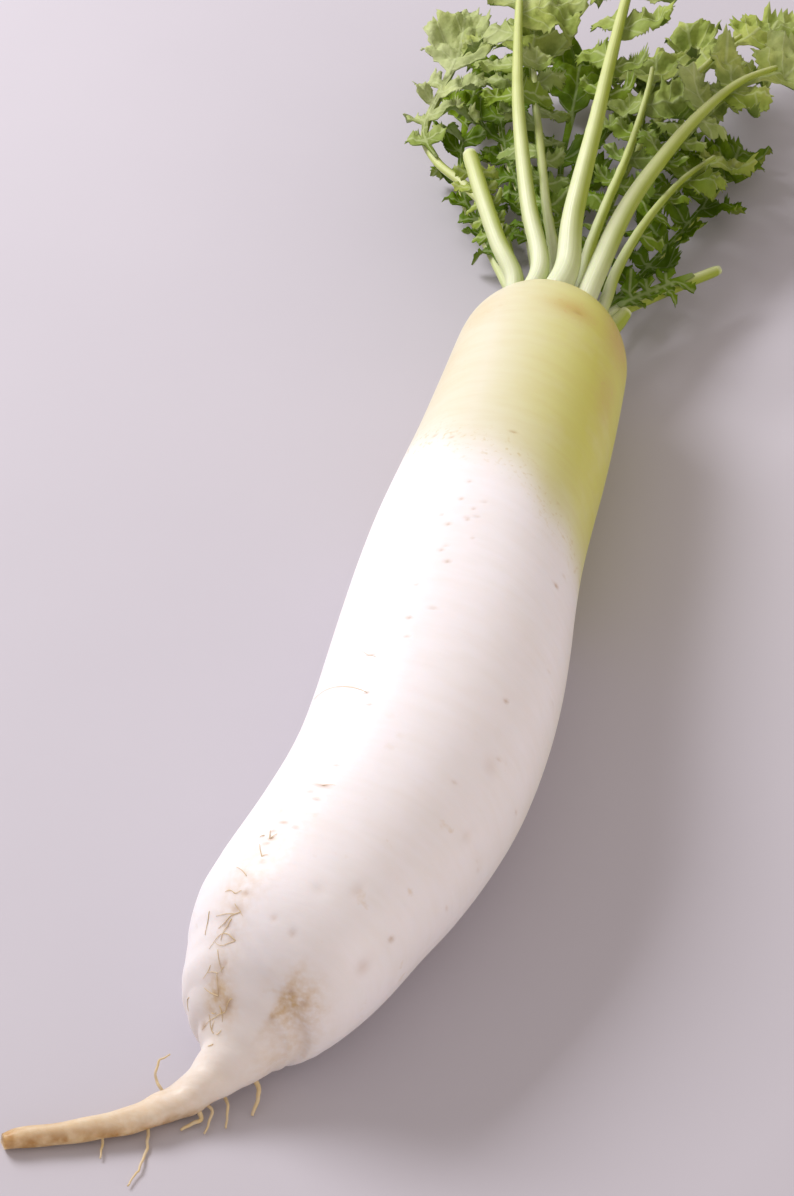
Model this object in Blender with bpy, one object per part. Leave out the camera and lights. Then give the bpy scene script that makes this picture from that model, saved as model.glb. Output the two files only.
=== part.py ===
"""A green-necked daikon radish lying on its side, with its leaf bunch.

Frame: metres, +Z up, the surface it lies on at z = 0. +Y runs along the root from the tail to the leaves.
The origin is on the surface, under the thickest part of the root. Lengths below are in millimetres.
"""
import math
import random

import bmesh
import bpy
from mathutils import Vector
from mathutils.geometry import delaunay_2d_cdt

MM = 0.001

# ---- root: centre line and radius, from the broken tail tip to the shoulder (x, y, radius)
ROOT_LINE = [
    (-72.8, -179.9, 2.4),
    (-68.6, -177.4, 3.0),
    (-58.0, -172.0, 3.3),
    (-47.3, -166.4, 3.6),
    (-37.5, -159.5, 4.2),
    (-28.5, -150.5, 5.3),
    (-21.5, -141.5, 7.6),
    (-19.0, -135.5, 12.0),
    (-18.2, -130.5, 17.6),
    (-17.4, -125.5, 22.8),
    (-15.2, -118.5, 27.9),
    (-12.3, -109.5, 31.3),
    (-8.75, -98.0, 32.85),
    (-5.05, -82.0, 33.85),
    (-1.7, -66.0, 35.1),
    (0.9, -49.0, 36.1),
    (2.0, -32.0, 37.0),
    (1.2, -13.0, 37.7),
    (-0.9, 7.0, 38.0),
    (-4.0, 28.0, 37.6),
    (-7.6, 50.0, 36.7),
    (-10.8, 73.0, 35.7),
    (-13.2, 97.0, 34.6),
    (-15.3, 122.0, 33.5),
    (-17.8, 147.0, 32.3),
    (-20.9, 173.0, 31.0),
]
# shoulder and crown: distance beyond the last point above, radius
CROWN_PROFILE = [(8.0, 30.3), (15.0, 28.7), (21.0, 26.0), (25.0, 23.1), (28.0, 19.6), (29.8, 15.0),
                 (30.8, 9.0)]
CROWN_TIP = 31.2
CROWN_CENTRE_Z = 31.0
ROOT_SIDES = 36
FLAT_DEPTH = 0.5  # how far the belly is pressed flat where the root rests
FLAT_FROM_Y = -75.0
FLAT_TO_Y = 125.0
BELLY_CLEARANCE = 0.25  # under the rest of the root
UNEVEN = 0.35  # lumps of the skin
FULL_LUMP_RADIUS = 30.0  # thinner parts have smaller lumps
THIN_ROOT = 25.0  # where the root is thinner than this it lifts off the surface
TAIL_RADIUS = 6.0  # and from here on the tail lies down again
TAIL_LIFT = 0.15

# ---- rootlets on the tail: points (x, y, z) and radius at the first one
ROOTLETS = [
    ([(-16.0, -133.5, 8.0), (-10.6, -137.5, 6.0), (-8.3, -141.0, 3.6), (-8.4, -146.0, 1.2)], 1.1),
    ([(-27.0, -149.0, 4.5), (-22.0, -152.5, 2.4), (-26.3, -158.2, 1.0)], 1.0),
    ([(-24.0, -146.0, 4.5), (-19.6, -150.8, 2.6), (-18.9, -156.5, 0.9)], 0.7),
    ([(-21.0, -142.0, 5.0), (-15.8, -146.6, 3.0), (-14.2, -153.0, 0.9)], 0.7),
    ([(-37.0, -158.5, 3.5), (-34.6, -162.6, 1.6), (-32.7, -169.8, 0.9), (-32.6, -177.0, 0.8),
      (-33.4, -181.5, 0.8)], 0.6),
    ([(-31.5, -152.5, 6.0), (-37.0, -149.5, 9.5), (-37.6, -145.5, 12.5), (-35.0, -142.5, 14.0)], 0.6),
    ([(-47.0, -166.0, 3.0), (-45.4, -170.5, 1.2), (-44.3, -174.5, 0.8)], 0.6),
]
ROOTLET_TIP = 0.35
ROOTLET_SIDES = 5

# ---- leaves
NODE_GAP = 0.35  # between a stalk and the root
BLADE_GAP = 0.6  # between a stalk and its blade
STALK_END = 0.94  # of a leaf's length, where its rib runs out
BLADE_THICKNESS = 0.85  # measured square to the rib's plane; sloping lobes keep 0.6 across
STALK_SIDES = 8
STALK_STEP = 11.0  # between rings of a stalk
FOOT_END = 0.2  # share of a stalk's length, where its foot ends
FOOT_TAPER = 0.7
LEAST_START = 0.4  # share of the length before which the stalk doesn't start to run out
RING_CROWD = 1.1  # rings lie a little closer near the crown
STRIP_SHARE = 0.75  # half width of the blade's strip under the rib, of the stalk's radius
STRIP_LEAST = 1.1
LOBE_SWEEP = math.radians(58.0)  # of a lobe from the rib, pointing forwards
# half of a lobe's edge: share of its length, half width as a share of its width
OPEN_LOBE = [(0.0, 0.26), (0.22, 0.43), (0.33, 0.49), (0.43, 0.39), (0.57, 0.50), (0.67, 0.44),
             (0.75, 0.31), (0.90, 0.24)]
SMALL_LOBE = [(0.0, 0.22), (0.45, 0.50), (0.62, 0.28), (0.80, 0.34)]
FOOT_SHARE = 0.6  # of a lobe's length, over which its foot turns square to the rib
LEAST_WIDTH = 6.0
BROAD_LOBE_LENGTH = 20.0
SMALL_LOBE_LENGTH = 11.0  # shorter lobes have the simpler edge
TIP_EDGE = [(0.0, 0.05), (0.16, 0.21), (0.28, 0.41), (0.36, 0.47), (0.43, 0.38), (0.54, 0.48), (0.62, 0.46),
            (0.69, 0.34), (0.80, 0.34), (0.87, 0.21), (0.96, 0.12)]
FOLD = 0.85  # steepest slope of a lobe up or down from the rib
TWIST = 0.75  # slope across a lobe at its tip
TIP_CALM = 0.45  # of those, for the lobe at a leaf's tip
RIPPLE = 1.6
RIPPLE_WAVE = 13.0
RIPPLE_FULL_LENGTH = 16.0  # shorter lobes ripple less
LENGTH_SPREAD = (0.62, 1.15)  # of a lobe, of what its place on the leaf gives
WIDTH_SPREAD = (0.75, 1.0)  # of its length
SWEEP_SPREAD = (0.96, 1.03)
LOBE_PITCH = 0.55  # half of the room a lobe takes along the rib, of its width, if it stood square
STRIP_LEAD = 2.0  # strip of blade under the rib beyond the first and last lobes
STRIP_END_SHARE = 0.6  # its width there, of its width elsewhere
STRIP_FIRST = 5.0  # points along its middle: the first one, then the step
STRIP_STEP = 9.0

# base: place on the crown (angle from straight up in degrees, distance from the crown's middle)
# radii: of the stalk, at the crown, a fifth of the way out, where the blade starts, at the end
# side: of the stalk that the blade is on, -1 under it, 1 over it; roll: of the blade, in degrees
# line: points of the stalk's centre after the base (x, y, z)
# start: share of the length where the blade starts
# lobes: lengths of the first lobe and of the last; lean: how much longer those on the right are
# tip: length and width of the tip lobe; fold: most that a lobe rises or drops
LEAVES = {
    "leaf_1": dict(base=(-103, 17.0), radii=(2.3, 2.1, 1.7, 0.8), side=1, roll=-6,
                   line=[(-47, 226, 28), (-61, 254, 30), (-79, 270, 32), (-94, 280, 33),
                         (-104, 294, 34), (-106, 318, 35), (-108, 350, 33)],
                   start=0.59, lobes=(13, 18), lean=0.3,
                   tip=(32, 32), fold=6.0, seed=11),
    "leaf_2": dict(base=(-42, 14.0), radii=(4.0, 3.2, 2.4, 0.9), side=-1, roll=4,
                   line=[(-34, 217, 45), (-47, 243, 52), (-64, 285, 61), (-76, 322, 66), (-86, 356, 66),
                         (-94, 382, 62)],
                   start=0.48, lobes=(14, 42), lean=-0.1,
                   tip=(48, 48), fold=8.0, seed=36),
    "leaf_3": dict(base=(-25, 5.5), radii=(2.4, 2.1, 1.7, 0.8), side=-1, roll=12,
                   line=[(-29, 218, 37), (-33, 232, 39), (-42, 252, 42), (-51, 275, 45), (-63, 306, 48),
                         (-73, 334, 48), (-79, 354, 45)],
                   start=0.26, lobes=(8, 24), lean=0.0,
                   tip=(32, 32), fold=5.0, seed=13),
    "leaf_4": dict(base=(2, 13.5), radii=(5.5, 4.0, 2.7, 0.9), side=-1, roll=-4,
                   line=[(-24, 218, 46), (-28, 237, 54), (-31, 272, 68), (-35, 310, 80), (-39, 348, 86),
                         (-41, 384, 82)],
                   start=0.46, lobes=(14, 38), lean=0.15,
                   tip=(48, 46), fold=7.0, seed=31),
    "leaf_5": dict(base=(60, 6.0), radii=(2.4, 2.2, 1.9, 0.8), side=-1, roll=-8,
                   line=[(-20, 218, 33), (-23, 242, 35), (-24, 269, 38), (-24, 298, 42), (-28, 338, 42),
                         (-33, 366, 40)],
                   start=0.26, lobes=(8, 26), lean=0.0,
                   tip=(38, 36), fold=4.0, seed=28),
    "leaf_6": dict(base=(48, 14.0), radii=(4.3, 3.8, 2.8, 0.9), side=-1, roll=6,
                   line=[(-14, 221, 43), (-13, 253, 48), (-8, 283, 52), (-1, 314, 54), (8, 342, 53),
                         (22, 368, 48)],
                   start=0.46, lobes=(13, 32), lean=-0.35,
                   tip=(40, 38), fold=5.5, seed=49),
    "leaf_7": dict(base=(88, 14.5), radii=(2.6, 2.3, 1.8, 0.8), side=-1, roll=2,
                   line=[(-10, 220, 31), (-11, 240, 32), (-9, 268, 33), (-4, 298, 32), (2, 318, 30),
                         (6, 330, 28)],
                   start=0.4, lobes=(10, 20), lean=-0.2,
                   tip=(26, 26), fold=5.0, seed=17),
    "leaf_8": dict(base=(-135, 13.0), radii=(3.0, 2.4, 1.8, 0.8), side=1, roll=3,
                   line=[(-40, 220, 18), (-52, 240, 12), (-70, 268, 8), (-90, 298, 7), (-101, 334, 7),
                         (-104, 354, 7)],
                   start=0.36, lobes=(9, 21), lean=0.3,
                   tip=(30, 30), fold=6.0, seed=18),
    "leaf_9": dict(base=(180, 12.0), radii=(3.0, 2.4, 1.8, 0.8), side=1, roll=0,
                   line=[(-27, 222, 15), (-34, 244, 10), (-46, 282, 7), (-58, 326, 7), (-64, 360, 7),
                         (-67, 378, 7)],
                   start=0.22, lobes=(9, 30), lean=0.1,
                   tip=(36, 34), fold=6.0, seed=19),
    "leaf_10": dict(base=(160, 5.5), radii=(2.5, 2.2, 1.8, 0.8), side=1, roll=0,
                    line=[(-18, 222, 18), (-13, 244, 10), (-7, 276, 7), (0, 308, 7), (4, 334, 7),
                          (5, 350, 7)],
                    start=0.26, lobes=(9, 25), lean=-0.25,
                    tip=(32, 30), fold=6.0, seed=20),
    "leaf_11": dict(base=(-125, 6.5), radii=(2.3, 2.0, 1.6, 0.8), side=1, roll=0,
                    line=[(-34, 222, 25), (-42, 240, 22), (-58, 276, 21), (-78, 314, 21),
                          (-90, 346, 19.8), (-95, 362, 17.6)],
                    start=0.3, lobes=(8, 20), lean=0.0,
                    tip=(30, 28), fold=4.5, seed=21),
    "leaf_12": dict(base=(100, 8.5), radii=(2.2, 2.0, 1.7, 0.8), side=-1, roll=0,
                    line=[(-19.5, 219, 26), (-24.5, 244, 24.5), (-27.5, 285, 24.5), (-27, 330, 24.5),
                          (-21, 368, 26), (-11, 400, 29), (-1, 418, 30)],
                    start=0.56, lobes=(20, 28), lean=0.0,
                    tip=(36, 34), fold=3.5, seed=27),
}
# leaf stalks cut short, with the leaflets left on them: the same values, and where the leaflets stop
CUT_LEAVES = {
    "cut_leaf_1": dict(base=(-80, 15.0), radii=(3.6, 3.5, 3.3, 2.9), side=-1, roll=-10,
                       line=[(-42, 212, 40), (-52, 224, 45), (-63, 241, 49), (-76, 263, 53)],
                       start=0.42, stop=0.97, lobes=(6, 9), lean=0.0,
                       tip=None, fold=4.0, seed=31),
    "cut_leaf_2": dict(base=(141, 15.0), radii=(3.0, 3.0, 2.6, 2.0), side=1, roll=10,
                       line=[(-13, 216, 20), (-8, 231, 19), (4, 249, 18), (20, 272, 16)],
                       start=0.38, stop=0.8, lobes=(7, 10), lean=0.0,
                       tip=None, fold=4.5, seed=32),
}
LEAF_BASE = dict(base=(112, 15.5), radii=(2.6, 3.2, 3.3, 2.4), roll=0, start=0.6,
                 line=[(-7, 211, 24), (-4, 217, 26), (-2, 222, 28)])

COLOURS = {
    "root": (0.91, 0.89, 0.80, 1.0),
    "stalk": (0.66, 0.75, 0.42, 1.0),
    "blade": (0.17, 0.32, 0.06, 1.0),
}
ROUGHNESS = {"root": 0.42, "stalk": 0.45, "blade": 0.55}


def clear_scene():
    for obj in list(bpy.data.objects):
        bpy.data.objects.remove(obj, do_unlink=True)


def material(name, kind):
    mat = bpy.data.materials.new(name)
    mat.use_nodes = True
    shader = mat.node_tree.nodes["Principled BSDF"]
    shader.inputs["Base Color"].default_value = COLOURS[kind]
    shader.inputs["Roughness"].default_value = ROUGHNESS[kind]
    shader.inputs["Metallic"].default_value = 0.0
    return mat


def add_object(name, points, faces, kind):
    """One object from points in millimetres, facing outwards."""
    mesh = bpy.data.meshes.new(name)
    mesh.from_pydata([Vector(p) * MM for p in points], [], faces)
    form = bmesh.new()
    form.from_mesh(mesh)
    bmesh.ops.recalc_face_normals(form, faces=form.faces)
    if form.calc_volume(signed=True) < 0.0:
        bmesh.ops.reverse_faces(form, faces=form.faces)
    form.to_mesh(mesh)
    form.free()
    mesh.materials.append(material(name, kind))
    mesh.polygons.foreach_set("use_smooth", [True] * len(mesh.polygons))
    obj = bpy.data.objects.new(name, mesh)
    bpy.context.scene.collection.objects.link(obj)
    return obj


def curve_point(points, t):
    """A point on the smooth curve through the points; t counts points from 0."""
    last = len(points) - 1
    i = min(int(t), last - 1)
    u = t - i
    p1 = Vector(points[i])
    p2 = Vector(points[i + 1])
    p0 = Vector(points[i - 1]) if i > 0 else p1 * 2.0 - p2
    p3 = Vector(points[i + 2]) if i + 2 <= last else p2 * 2.0 - p1
    return 0.5 * (2.0 * p1 + (p2 - p0) * u + (2.0 * p0 - 5.0 * p1 + 4.0 * p2 - p3) * u * u
                  + (3.0 * p1 - p0 - 3.0 * p2 + p3) * u * u * u)


class Line:
    """A smooth centre line measured by its length, with a side and an up direction along it."""

    SAMPLES = 240
    LOOK = 0.03  # share of the length looked ahead and back for the direction

    def __init__(self, points, roll=0.0):
        self.roll = roll
        last = len(points) - 1
        self.path = [curve_point(points, last * i / self.SAMPLES) for i in range(self.SAMPLES + 1)]
        self.at = [0.0]
        for a, b in zip(self.path, self.path[1:]):
            self.at.append(self.at[-1] + (b - a).length)
        self.length = self.at[-1]

    def place(self, u):
        u = min(max(u, 0.0), self.length)
        low = 0
        high = self.SAMPLES
        while high - low > 1:
            middle = (low + high) // 2
            if self.at[middle] > u:
                high = middle
            else:
                low = middle
        share = (u - self.at[low]) / (self.at[high] - self.at[low])
        return self.path[low].lerp(self.path[high], share)

    def frame(self, u):
        """Point, direction, side (to the right of it) and up."""
        reach = self.length * self.LOOK
        middle = min(max(u, 0.0), self.length)
        ahead = (self.place(middle + reach) - self.place(middle - reach)).normalized()
        side = ahead.cross(Vector((0.0, 0.0, 1.0))).normalized()
        up = side.cross(ahead)
        turned = side * math.cos(self.roll) - up * math.sin(self.roll)
        return self.place(u), ahead, turned, turned.cross(ahead)


def tube_faces(rings, sides):
    faces = []
    for k in range(rings - 1):
        for i in range(sides):
            j = (i + 1) % sides
            faces.append((k * sides + i, k * sides + j, (k + 1) * sides + j, (k + 1) * sides + i))
    faces.append(tuple(range(sides - 1, -1, -1)))
    faces.append(tuple((rings - 1) * sides + i for i in range(sides)))
    return faces


# ---------------------------------------------------------------- root


def crown_axis():
    a = Vector((ROOT_LINE[-2][0], ROOT_LINE[-2][1], 0.0))
    b = Vector((ROOT_LINE[-1][0], ROOT_LINE[-1][1], 0.0))
    return (b - a).normalized()


def crown_start():
    return Vector((ROOT_LINE[-1][0], ROOT_LINE[-1][1], CROWN_CENTRE_Z))


def crown_reach(distance):
    """How far the crown stands out along its axis, at a distance from its middle."""
    profile = [(CROWN_TIP, 0.0)] + [(a, r) for a, r in reversed(CROWN_PROFILE)]
    for (a0, r0), (a1, r1) in zip(profile, profile[1:]):
        if r0 <= distance <= r1:
            return a0 + (a1 - a0) * (distance - r0) / (r1 - r0)
    return profile[-1][0]


def crown_spot(angle, distance):
    """A point on the crown, angle in degrees from straight up towards +X."""
    turn = math.radians(angle)
    side = crown_axis().cross(Vector((0.0, 0.0, 1.0)))
    offset = side * (distance * math.sin(turn)) + Vector((0.0, 0.0, distance * math.cos(turn)))
    return crown_start() + offset + crown_axis() * (crown_reach(distance) + NODE_GAP)


def root_rings():
    """Centre, direction, radius of each ring, tail first."""
    count = len(ROOT_LINE)
    rings = []
    for k, (x, y, radius) in enumerate(ROOT_LINE):
        before = ROOT_LINE[max(k - 1, 0)]
        after = ROOT_LINE[min(k + 1, count - 1)]
        ahead = Vector((after[0] - before[0], after[1] - before[1], 0.0)).normalized()
        if FLAT_FROM_Y <= y <= FLAT_TO_Y:
            height = radius - FLAT_DEPTH
        else:
            lift = TAIL_LIFT * max(0.0, THIN_ROOT - radius) if radius > TAIL_RADIUS else 0.0
            height = radius + BELLY_CLEARANCE + lift
        if k == count - 1:
            height = CROWN_CENTRE_Z
        rings.append((Vector((x, y, height)), ahead, radius))
    for reach, radius in CROWN_PROFILE:
        rings.append((crown_start() + crown_axis() * reach, crown_axis(), radius))
    return rings


def build_root():
    up = Vector((0.0, 0.0, 1.0))
    points = []
    rings = root_rings()
    for k, (centre, ahead, radius) in enumerate(rings):
        side = ahead.cross(up).normalized()
        for i in range(ROOT_SIDES):
            turn = 2.0 * math.pi * (i + 0.5) / ROOT_SIDES
            lump = math.sin(3.0 * turn + k * 0.9) + math.sin(2.0 * turn - k * 0.55)
            uneven = UNEVEN * 0.5 * min(1.0, radius / FULL_LUMP_RADIUS) if k < len(ROOT_LINE) else 0.0
            reach = radius + uneven * lump
            point = centre + side * (reach * math.sin(turn)) + up * (reach * math.cos(turn))
            point.z = max(point.z, 0.0)
            points.append(tuple(point))
    faces = tube_faces(len(rings), ROOT_SIDES)
    tip = len(points)
    points.append(tuple(crown_start() + crown_axis() * CROWN_TIP))
    faces.pop()
    first = (len(rings) - 1) * ROOT_SIDES
    for i in range(ROOT_SIDES):
        faces.append((first + i, first + (i + 1) % ROOT_SIDES, tip))
    root = add_object("root", points, faces, "root")
    twigs = bpy.data.collections.new("rootlets")
    for number, (line, radius) in enumerate(ROOTLETS):
        twigs.objects.link(build_rootlet("rootlet_%d" % number, line, radius))
    join_collection(root, twigs)
    return root


def build_rootlet(name, points, radius):
    line = Line(points)
    rows = 2 * len(points)
    corners = []
    for k in range(rows):
        share = k / (rows - 1)
        centre, ahead, side, up = line.frame(line.length * share)
        reach = radius + (ROOTLET_TIP - radius) * share
        for i in range(ROOTLET_SIDES):
            turn = 2.0 * math.pi * i / ROOTLET_SIDES
            corners.append(centre + side * (reach * math.sin(turn)) + up * (reach * math.cos(turn)))
    return add_object(name, corners, tube_faces(rows, ROOTLET_SIDES), "root")


def join_collection(obj, collection):
    """Fuses every object of the collection into obj, then removes them."""
    modifier = obj.modifiers.new("join", "BOOLEAN")
    modifier.operation = "UNION"
    modifier.operand_type = "COLLECTION"
    modifier.collection = collection
    modifier.solver = "EXACT"
    bpy.context.view_layer.update()
    evaluated = obj.evaluated_get(bpy.context.evaluated_depsgraph_get())
    joined = bpy.data.meshes.new_from_object(evaluated)
    obj.modifiers.clear()
    obj.data = joined
    for piece in list(collection.objects):
        bpy.data.objects.remove(piece, do_unlink=True)
    bpy.data.collections.remove(collection)


# ---------------------------------------------------------------- leaves


def leaf_line(spec):
    return Line([tuple(crown_spot(*spec["base"]))] + spec["line"], math.radians(spec["roll"]))


def stalk_radius(spec, share):
    """Radius of a stalk at a share of its length."""
    crown, low, start, end = spec["radii"]
    middle = max(spec["start"], LEAST_START)
    if share < FOOT_END:
        return crown + (low - crown) * (share / FOOT_END) ** FOOT_TAPER
    if share < middle:
        return low + (start - low) * (share - FOOT_END) / (middle - FOOT_END)
    return start + (end - start) * (share - middle) / (1.0 - middle)


def build_stalk(name, spec, tip_share=1.0):
    line = leaf_line(spec)
    rows = max(4, round(line.length * tip_share / STALK_STEP))
    points = []
    for k in range(rows + 1):
        share = tip_share * (k / rows) ** RING_CROWD
        centre, ahead, side, up = line.frame(line.length * share)
        radius = stalk_radius(spec, share)
        for i in range(STALK_SIDES):
            turn = 2.0 * math.pi * (i + 0.5) / STALK_SIDES
            offset = side * (radius * math.sin(turn)) + up * (radius * math.cos(turn))
            if k == 0:
                points.append(seated(offset + centre))
            else:
                points.append(centre + offset)
    faces = tube_faces(rows + 1, STALK_SIDES)
    faces.pop(-2)
    foot = len(points)
    points.append(seated(line.place(0.0)))
    for i in range(STALK_SIDES):
        faces.append(((i + 1) % STALK_SIDES, i, foot))
    return add_object(name, points, faces, "stalk")


def seated(point):
    """Moves a corner of a stalk's foot along the crown's axis, to just clear of the crown."""
    offset = point - crown_start()
    along = offset.dot(crown_axis())
    distance = (offset - crown_axis() * along).length
    return point + crown_axis() * (crown_reach(distance) + NODE_GAP - along)


class Lobe:
    """One lobe or leaflet: its place along the rib, side, size, edge and the way it is bent."""

    def __init__(self, u, hand, root, length, width, edge, sweep, draw, fold):
        self.u = u
        self.hand = hand
        self.root = root
        self.length = length
        self.width = width
        self.edge = edge
        self.along = Vector((math.cos(sweep), hand * math.sin(sweep)))
        self.across = Vector((hand * self.along.y, -hand * self.along.x))
        self.foot = Vector((1.0 / math.sin(sweep), 0.0)) if sweep > 0.0 else self.across
        calm = 1.0 if sweep > 0.0 else TIP_CALM
        rise = draw.choice((-1.0, 1.0)) * draw.uniform(0.25, 1.0) * FOLD * calm
        self.rise = max(-fold / length, min(fold / length, rise))
        self.twist = draw.uniform(-1.0, 1.0) * TWIST * calm
        self.phase = draw.uniform(0.0, 6.28)

    def flat(self, a, b):
        """From the lobe's own axes to the leaf's (u, v)."""
        across = self.foot.lerp(self.across, min(1.0, a / (FOOT_SHARE * self.length)))
        spot = Vector((self.u, self.hand * self.root)) + self.along * a + across * b
        return spot.x, spot.y

    def height(self, a, b):
        """How far the blade stands off its plane there."""
        share = min(max(a / self.length, 0.0), 1.0)
        ripple = RIPPLE * math.sin(self.phase + (a + 0.6 * b) * 2.0 * math.pi / RIPPLE_WAVE)
        ripple *= min(1.0, self.length / RIPPLE_FULL_LENGTH) * min(1.0, 2.0 * share) ** 2
        return self.rise * a * (0.35 + 0.65 * share) + self.twist * b * share + ripple

    def rim(self):
        """Corners of its edge, from the side nearest the crown round to the other."""
        near = [(a * self.length, -w * self.width) for a, w in self.edge]
        far = [(a * self.length, w * self.width) for a, w in reversed(self.edge)]
        return near + [(self.length, 0.0)] + far

    def middle(self):
        if self.length < SMALL_LOBE_LENGTH:
            return [(self.length * 0.45, 0.0)]
        spots = [(self.length * share, 0.0) for share in (0.2, 0.5, 0.78)]
        if self.length > BROAD_LOBE_LENGTH:
            spots += [(self.length * 0.5, self.width * side) for side in (-0.26, 0.26)]
        return spots


def make_lobes(spec, line):
    """Lobes of a leaf in pairs, larger towards the tip, then the tip lobe."""
    draw = random.Random(spec["seed"])
    first = spec["start"] * line.length
    tip = spec["tip"]
    last = line.length - tip[0] * 0.45 if tip else spec["stop"] * line.length
    sides = {}
    for hand in (1, -1):
        lobes = []
        u = first + draw.uniform(0.0, 3.0)
        while True:
            share = min(1.0, (u - first) / (last - first))
            length = spec["lobes"][0] + (spec["lobes"][1] - spec["lobes"][0]) * share
            length *= draw.uniform(*LENGTH_SPREAD)
            width = max(LEAST_WIDTH, length * draw.uniform(*WIDTH_SPREAD))
            length *= 1.0 + hand * spec["lean"]
            sweep = LOBE_SWEEP * draw.uniform(*SWEEP_SPREAD)
            edge = SMALL_LOBE if length < SMALL_LOBE_LENGTH else OPEN_LOBE
            half = width * LOBE_PITCH / math.sin(sweep)
            if u + 2.0 * half > last:
                break
            root = strip_half(spec, line, u + half)
            lobes.append(Lobe(u + half, hand, root, length, width, edge, sweep, draw, spec["fold"]))
            u += 2.0 * half
        sides[hand] = lobes
    end = None
    if tip:
        end = Lobe(last, 1, 0.0, tip[0], tip[1], TIP_EDGE, 0.0, draw, spec["fold"])
    return sides, end


def strip_half(spec, line, u):
    return max(STRIP_LEAST, STRIP_SHARE * stalk_radius(spec, u / line.length))


def blade_plan(spec, line):
    """Flat outline and inner points of a blade, each (u, v, height)."""
    sides, end = make_lobes(spec, line)
    first = spec["start"] * line.length
    rims = {}
    inner = []
    for hand, lobes in sides.items():
        rim = []
        for lobe in lobes:
            for a, b in lobe.rim():
                u, v = lobe.flat(a, b)
                rim.append((u, v, lobe.height(a, b) if a > 0.0 else 0.0))
            for a, b in lobe.middle():
                u, v = lobe.flat(a, b)
                inner.append((u, v, lobe.height(a, b)))
        rims[hand] = rim
    narrow = strip_half(spec, line, first) * STRIP_END_SHARE
    outline = [(first - STRIP_LEAD, -narrow, 0.0), (first - STRIP_LEAD, narrow, 0.0)] + rims[1]
    if end:
        for a, b in end.rim():
            outline.append(end.flat(a, b) + (end.height(a, b),))
        for a, b in end.middle():
            inner.append(end.flat(a, b) + (end.height(a, b),))
    else:
        last = spec["stop"] * line.length
        narrow = strip_half(spec, line, last) * STRIP_END_SHARE
        outline += [(last + STRIP_LEAD, narrow, 0.0), (last + STRIP_LEAD, -narrow, 0.0)]
    outline += list(reversed(rims[-1]))
    last_lobe = max(lobes[-1].u for lobes in sides.values())
    u = first + STRIP_FIRST
    while u < last_lobe:
        inner.append((u, 0.0, 0.0))
        u += STRIP_STEP
    return outline, inner


def build_blade(name, spec):
    """One thin waved blade, its lobes cut to the rib, both faces split alike."""
    line = leaf_line(spec)
    outline, inner = blade_plan(spec, line)
    plan = [Vector((u, v)) for u, v, h in outline + inner]
    rim = len(outline)
    edges = [(i, (i + 1) % rim) for i in range(rim)]
    flat, _, triangles, origins, _, _ = delaunay_2d_cdt(plan, edges, [list(range(rim))], 1, 1e-6)
    if len(flat) != len(plan):
        raise RuntimeError("%s: the outline crosses itself" % name)
    heights = [(outline + inner)[origins[i][0]] for i in range(len(flat))]
    top = []
    bottom = []
    for u, v, height in heights:
        centre, ahead, side, up = line.frame(u)
        beyond = max(0.0, u - line.length)
        off = stalk_radius(spec, min(STALK_END * 0.9, u / line.length)) + BLADE_GAP + BLADE_THICKNESS * 0.5
        middle = centre + ahead * beyond + side * v + up * (spec["side"] * (off + height))
        top.append(middle + up * (BLADE_THICKNESS * 0.5))
        bottom.append(middle - up * (BLADE_THICKNESS * 0.5))
    count = len(flat)
    order = {origin[0]: i for i, origin in enumerate(origins)}
    faces = [tuple(t) for t in triangles] + [tuple(i + count for i in reversed(t)) for t in triangles]
    for i in range(rim):
        a = order[i]
        b = order[(i + 1) % rim]
        faces.append((a, b, b + count))
        faces.append((a, b + count, a + count))
    return add_object(name, top + bottom, faces, "blade")


def main():
    clear_scene()
    build_root()
    for name, spec in LEAVES.items():
        build_stalk(name + "_stalk", spec, STALK_END)
        build_blade(name + "_blade", spec)
    for name, spec in CUT_LEAVES.items():
        build_stalk(name + "_stalk", spec)
        build_blade(name + "_leaflets", spec)
    build_stalk("cut_leaf_base", LEAF_BASE)


if __name__ == "__main__":
    main()
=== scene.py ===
"""The finished look of a green-necked daikon radish: skin, rootlets, stalks, leaves, floor and light.

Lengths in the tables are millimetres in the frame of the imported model: +Y from the tail tip to the leaves, +Z up.
"""
import math
import random
from bisect import bisect_right

import bpy
import numpy as np
from bpy.props import FloatProperty, FloatVectorProperty, IntProperty, PointerProperty
from mathutils import Euler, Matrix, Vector, noise
from mathutils.geometry import delaunay_2d_cdt


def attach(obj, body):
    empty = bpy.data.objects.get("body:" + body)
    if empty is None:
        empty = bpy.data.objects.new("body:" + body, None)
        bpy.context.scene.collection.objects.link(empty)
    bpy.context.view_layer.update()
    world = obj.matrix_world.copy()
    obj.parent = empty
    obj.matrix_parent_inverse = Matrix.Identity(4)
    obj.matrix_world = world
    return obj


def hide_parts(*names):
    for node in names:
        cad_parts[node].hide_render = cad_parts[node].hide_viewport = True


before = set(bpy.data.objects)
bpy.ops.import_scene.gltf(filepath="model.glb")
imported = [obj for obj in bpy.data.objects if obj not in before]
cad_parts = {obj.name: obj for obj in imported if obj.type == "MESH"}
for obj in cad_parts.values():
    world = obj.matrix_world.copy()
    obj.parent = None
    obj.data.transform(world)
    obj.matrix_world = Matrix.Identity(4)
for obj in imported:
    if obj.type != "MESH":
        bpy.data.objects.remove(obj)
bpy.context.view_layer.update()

bl_info = {
    "name": "Daikon radish",
    "version": (1, 0, 0),
    "blender": (4, 5, 0),
    "location": "View3D > Sidebar > Radish",
    "description": "Builds the fine skin, rootlets, stalks and leaves of a daikon radish over its plain solids",
    "category": "Object",
}

MM = 0.001

# ---------------------------------------------------------------- forms shared with the solids

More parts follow.
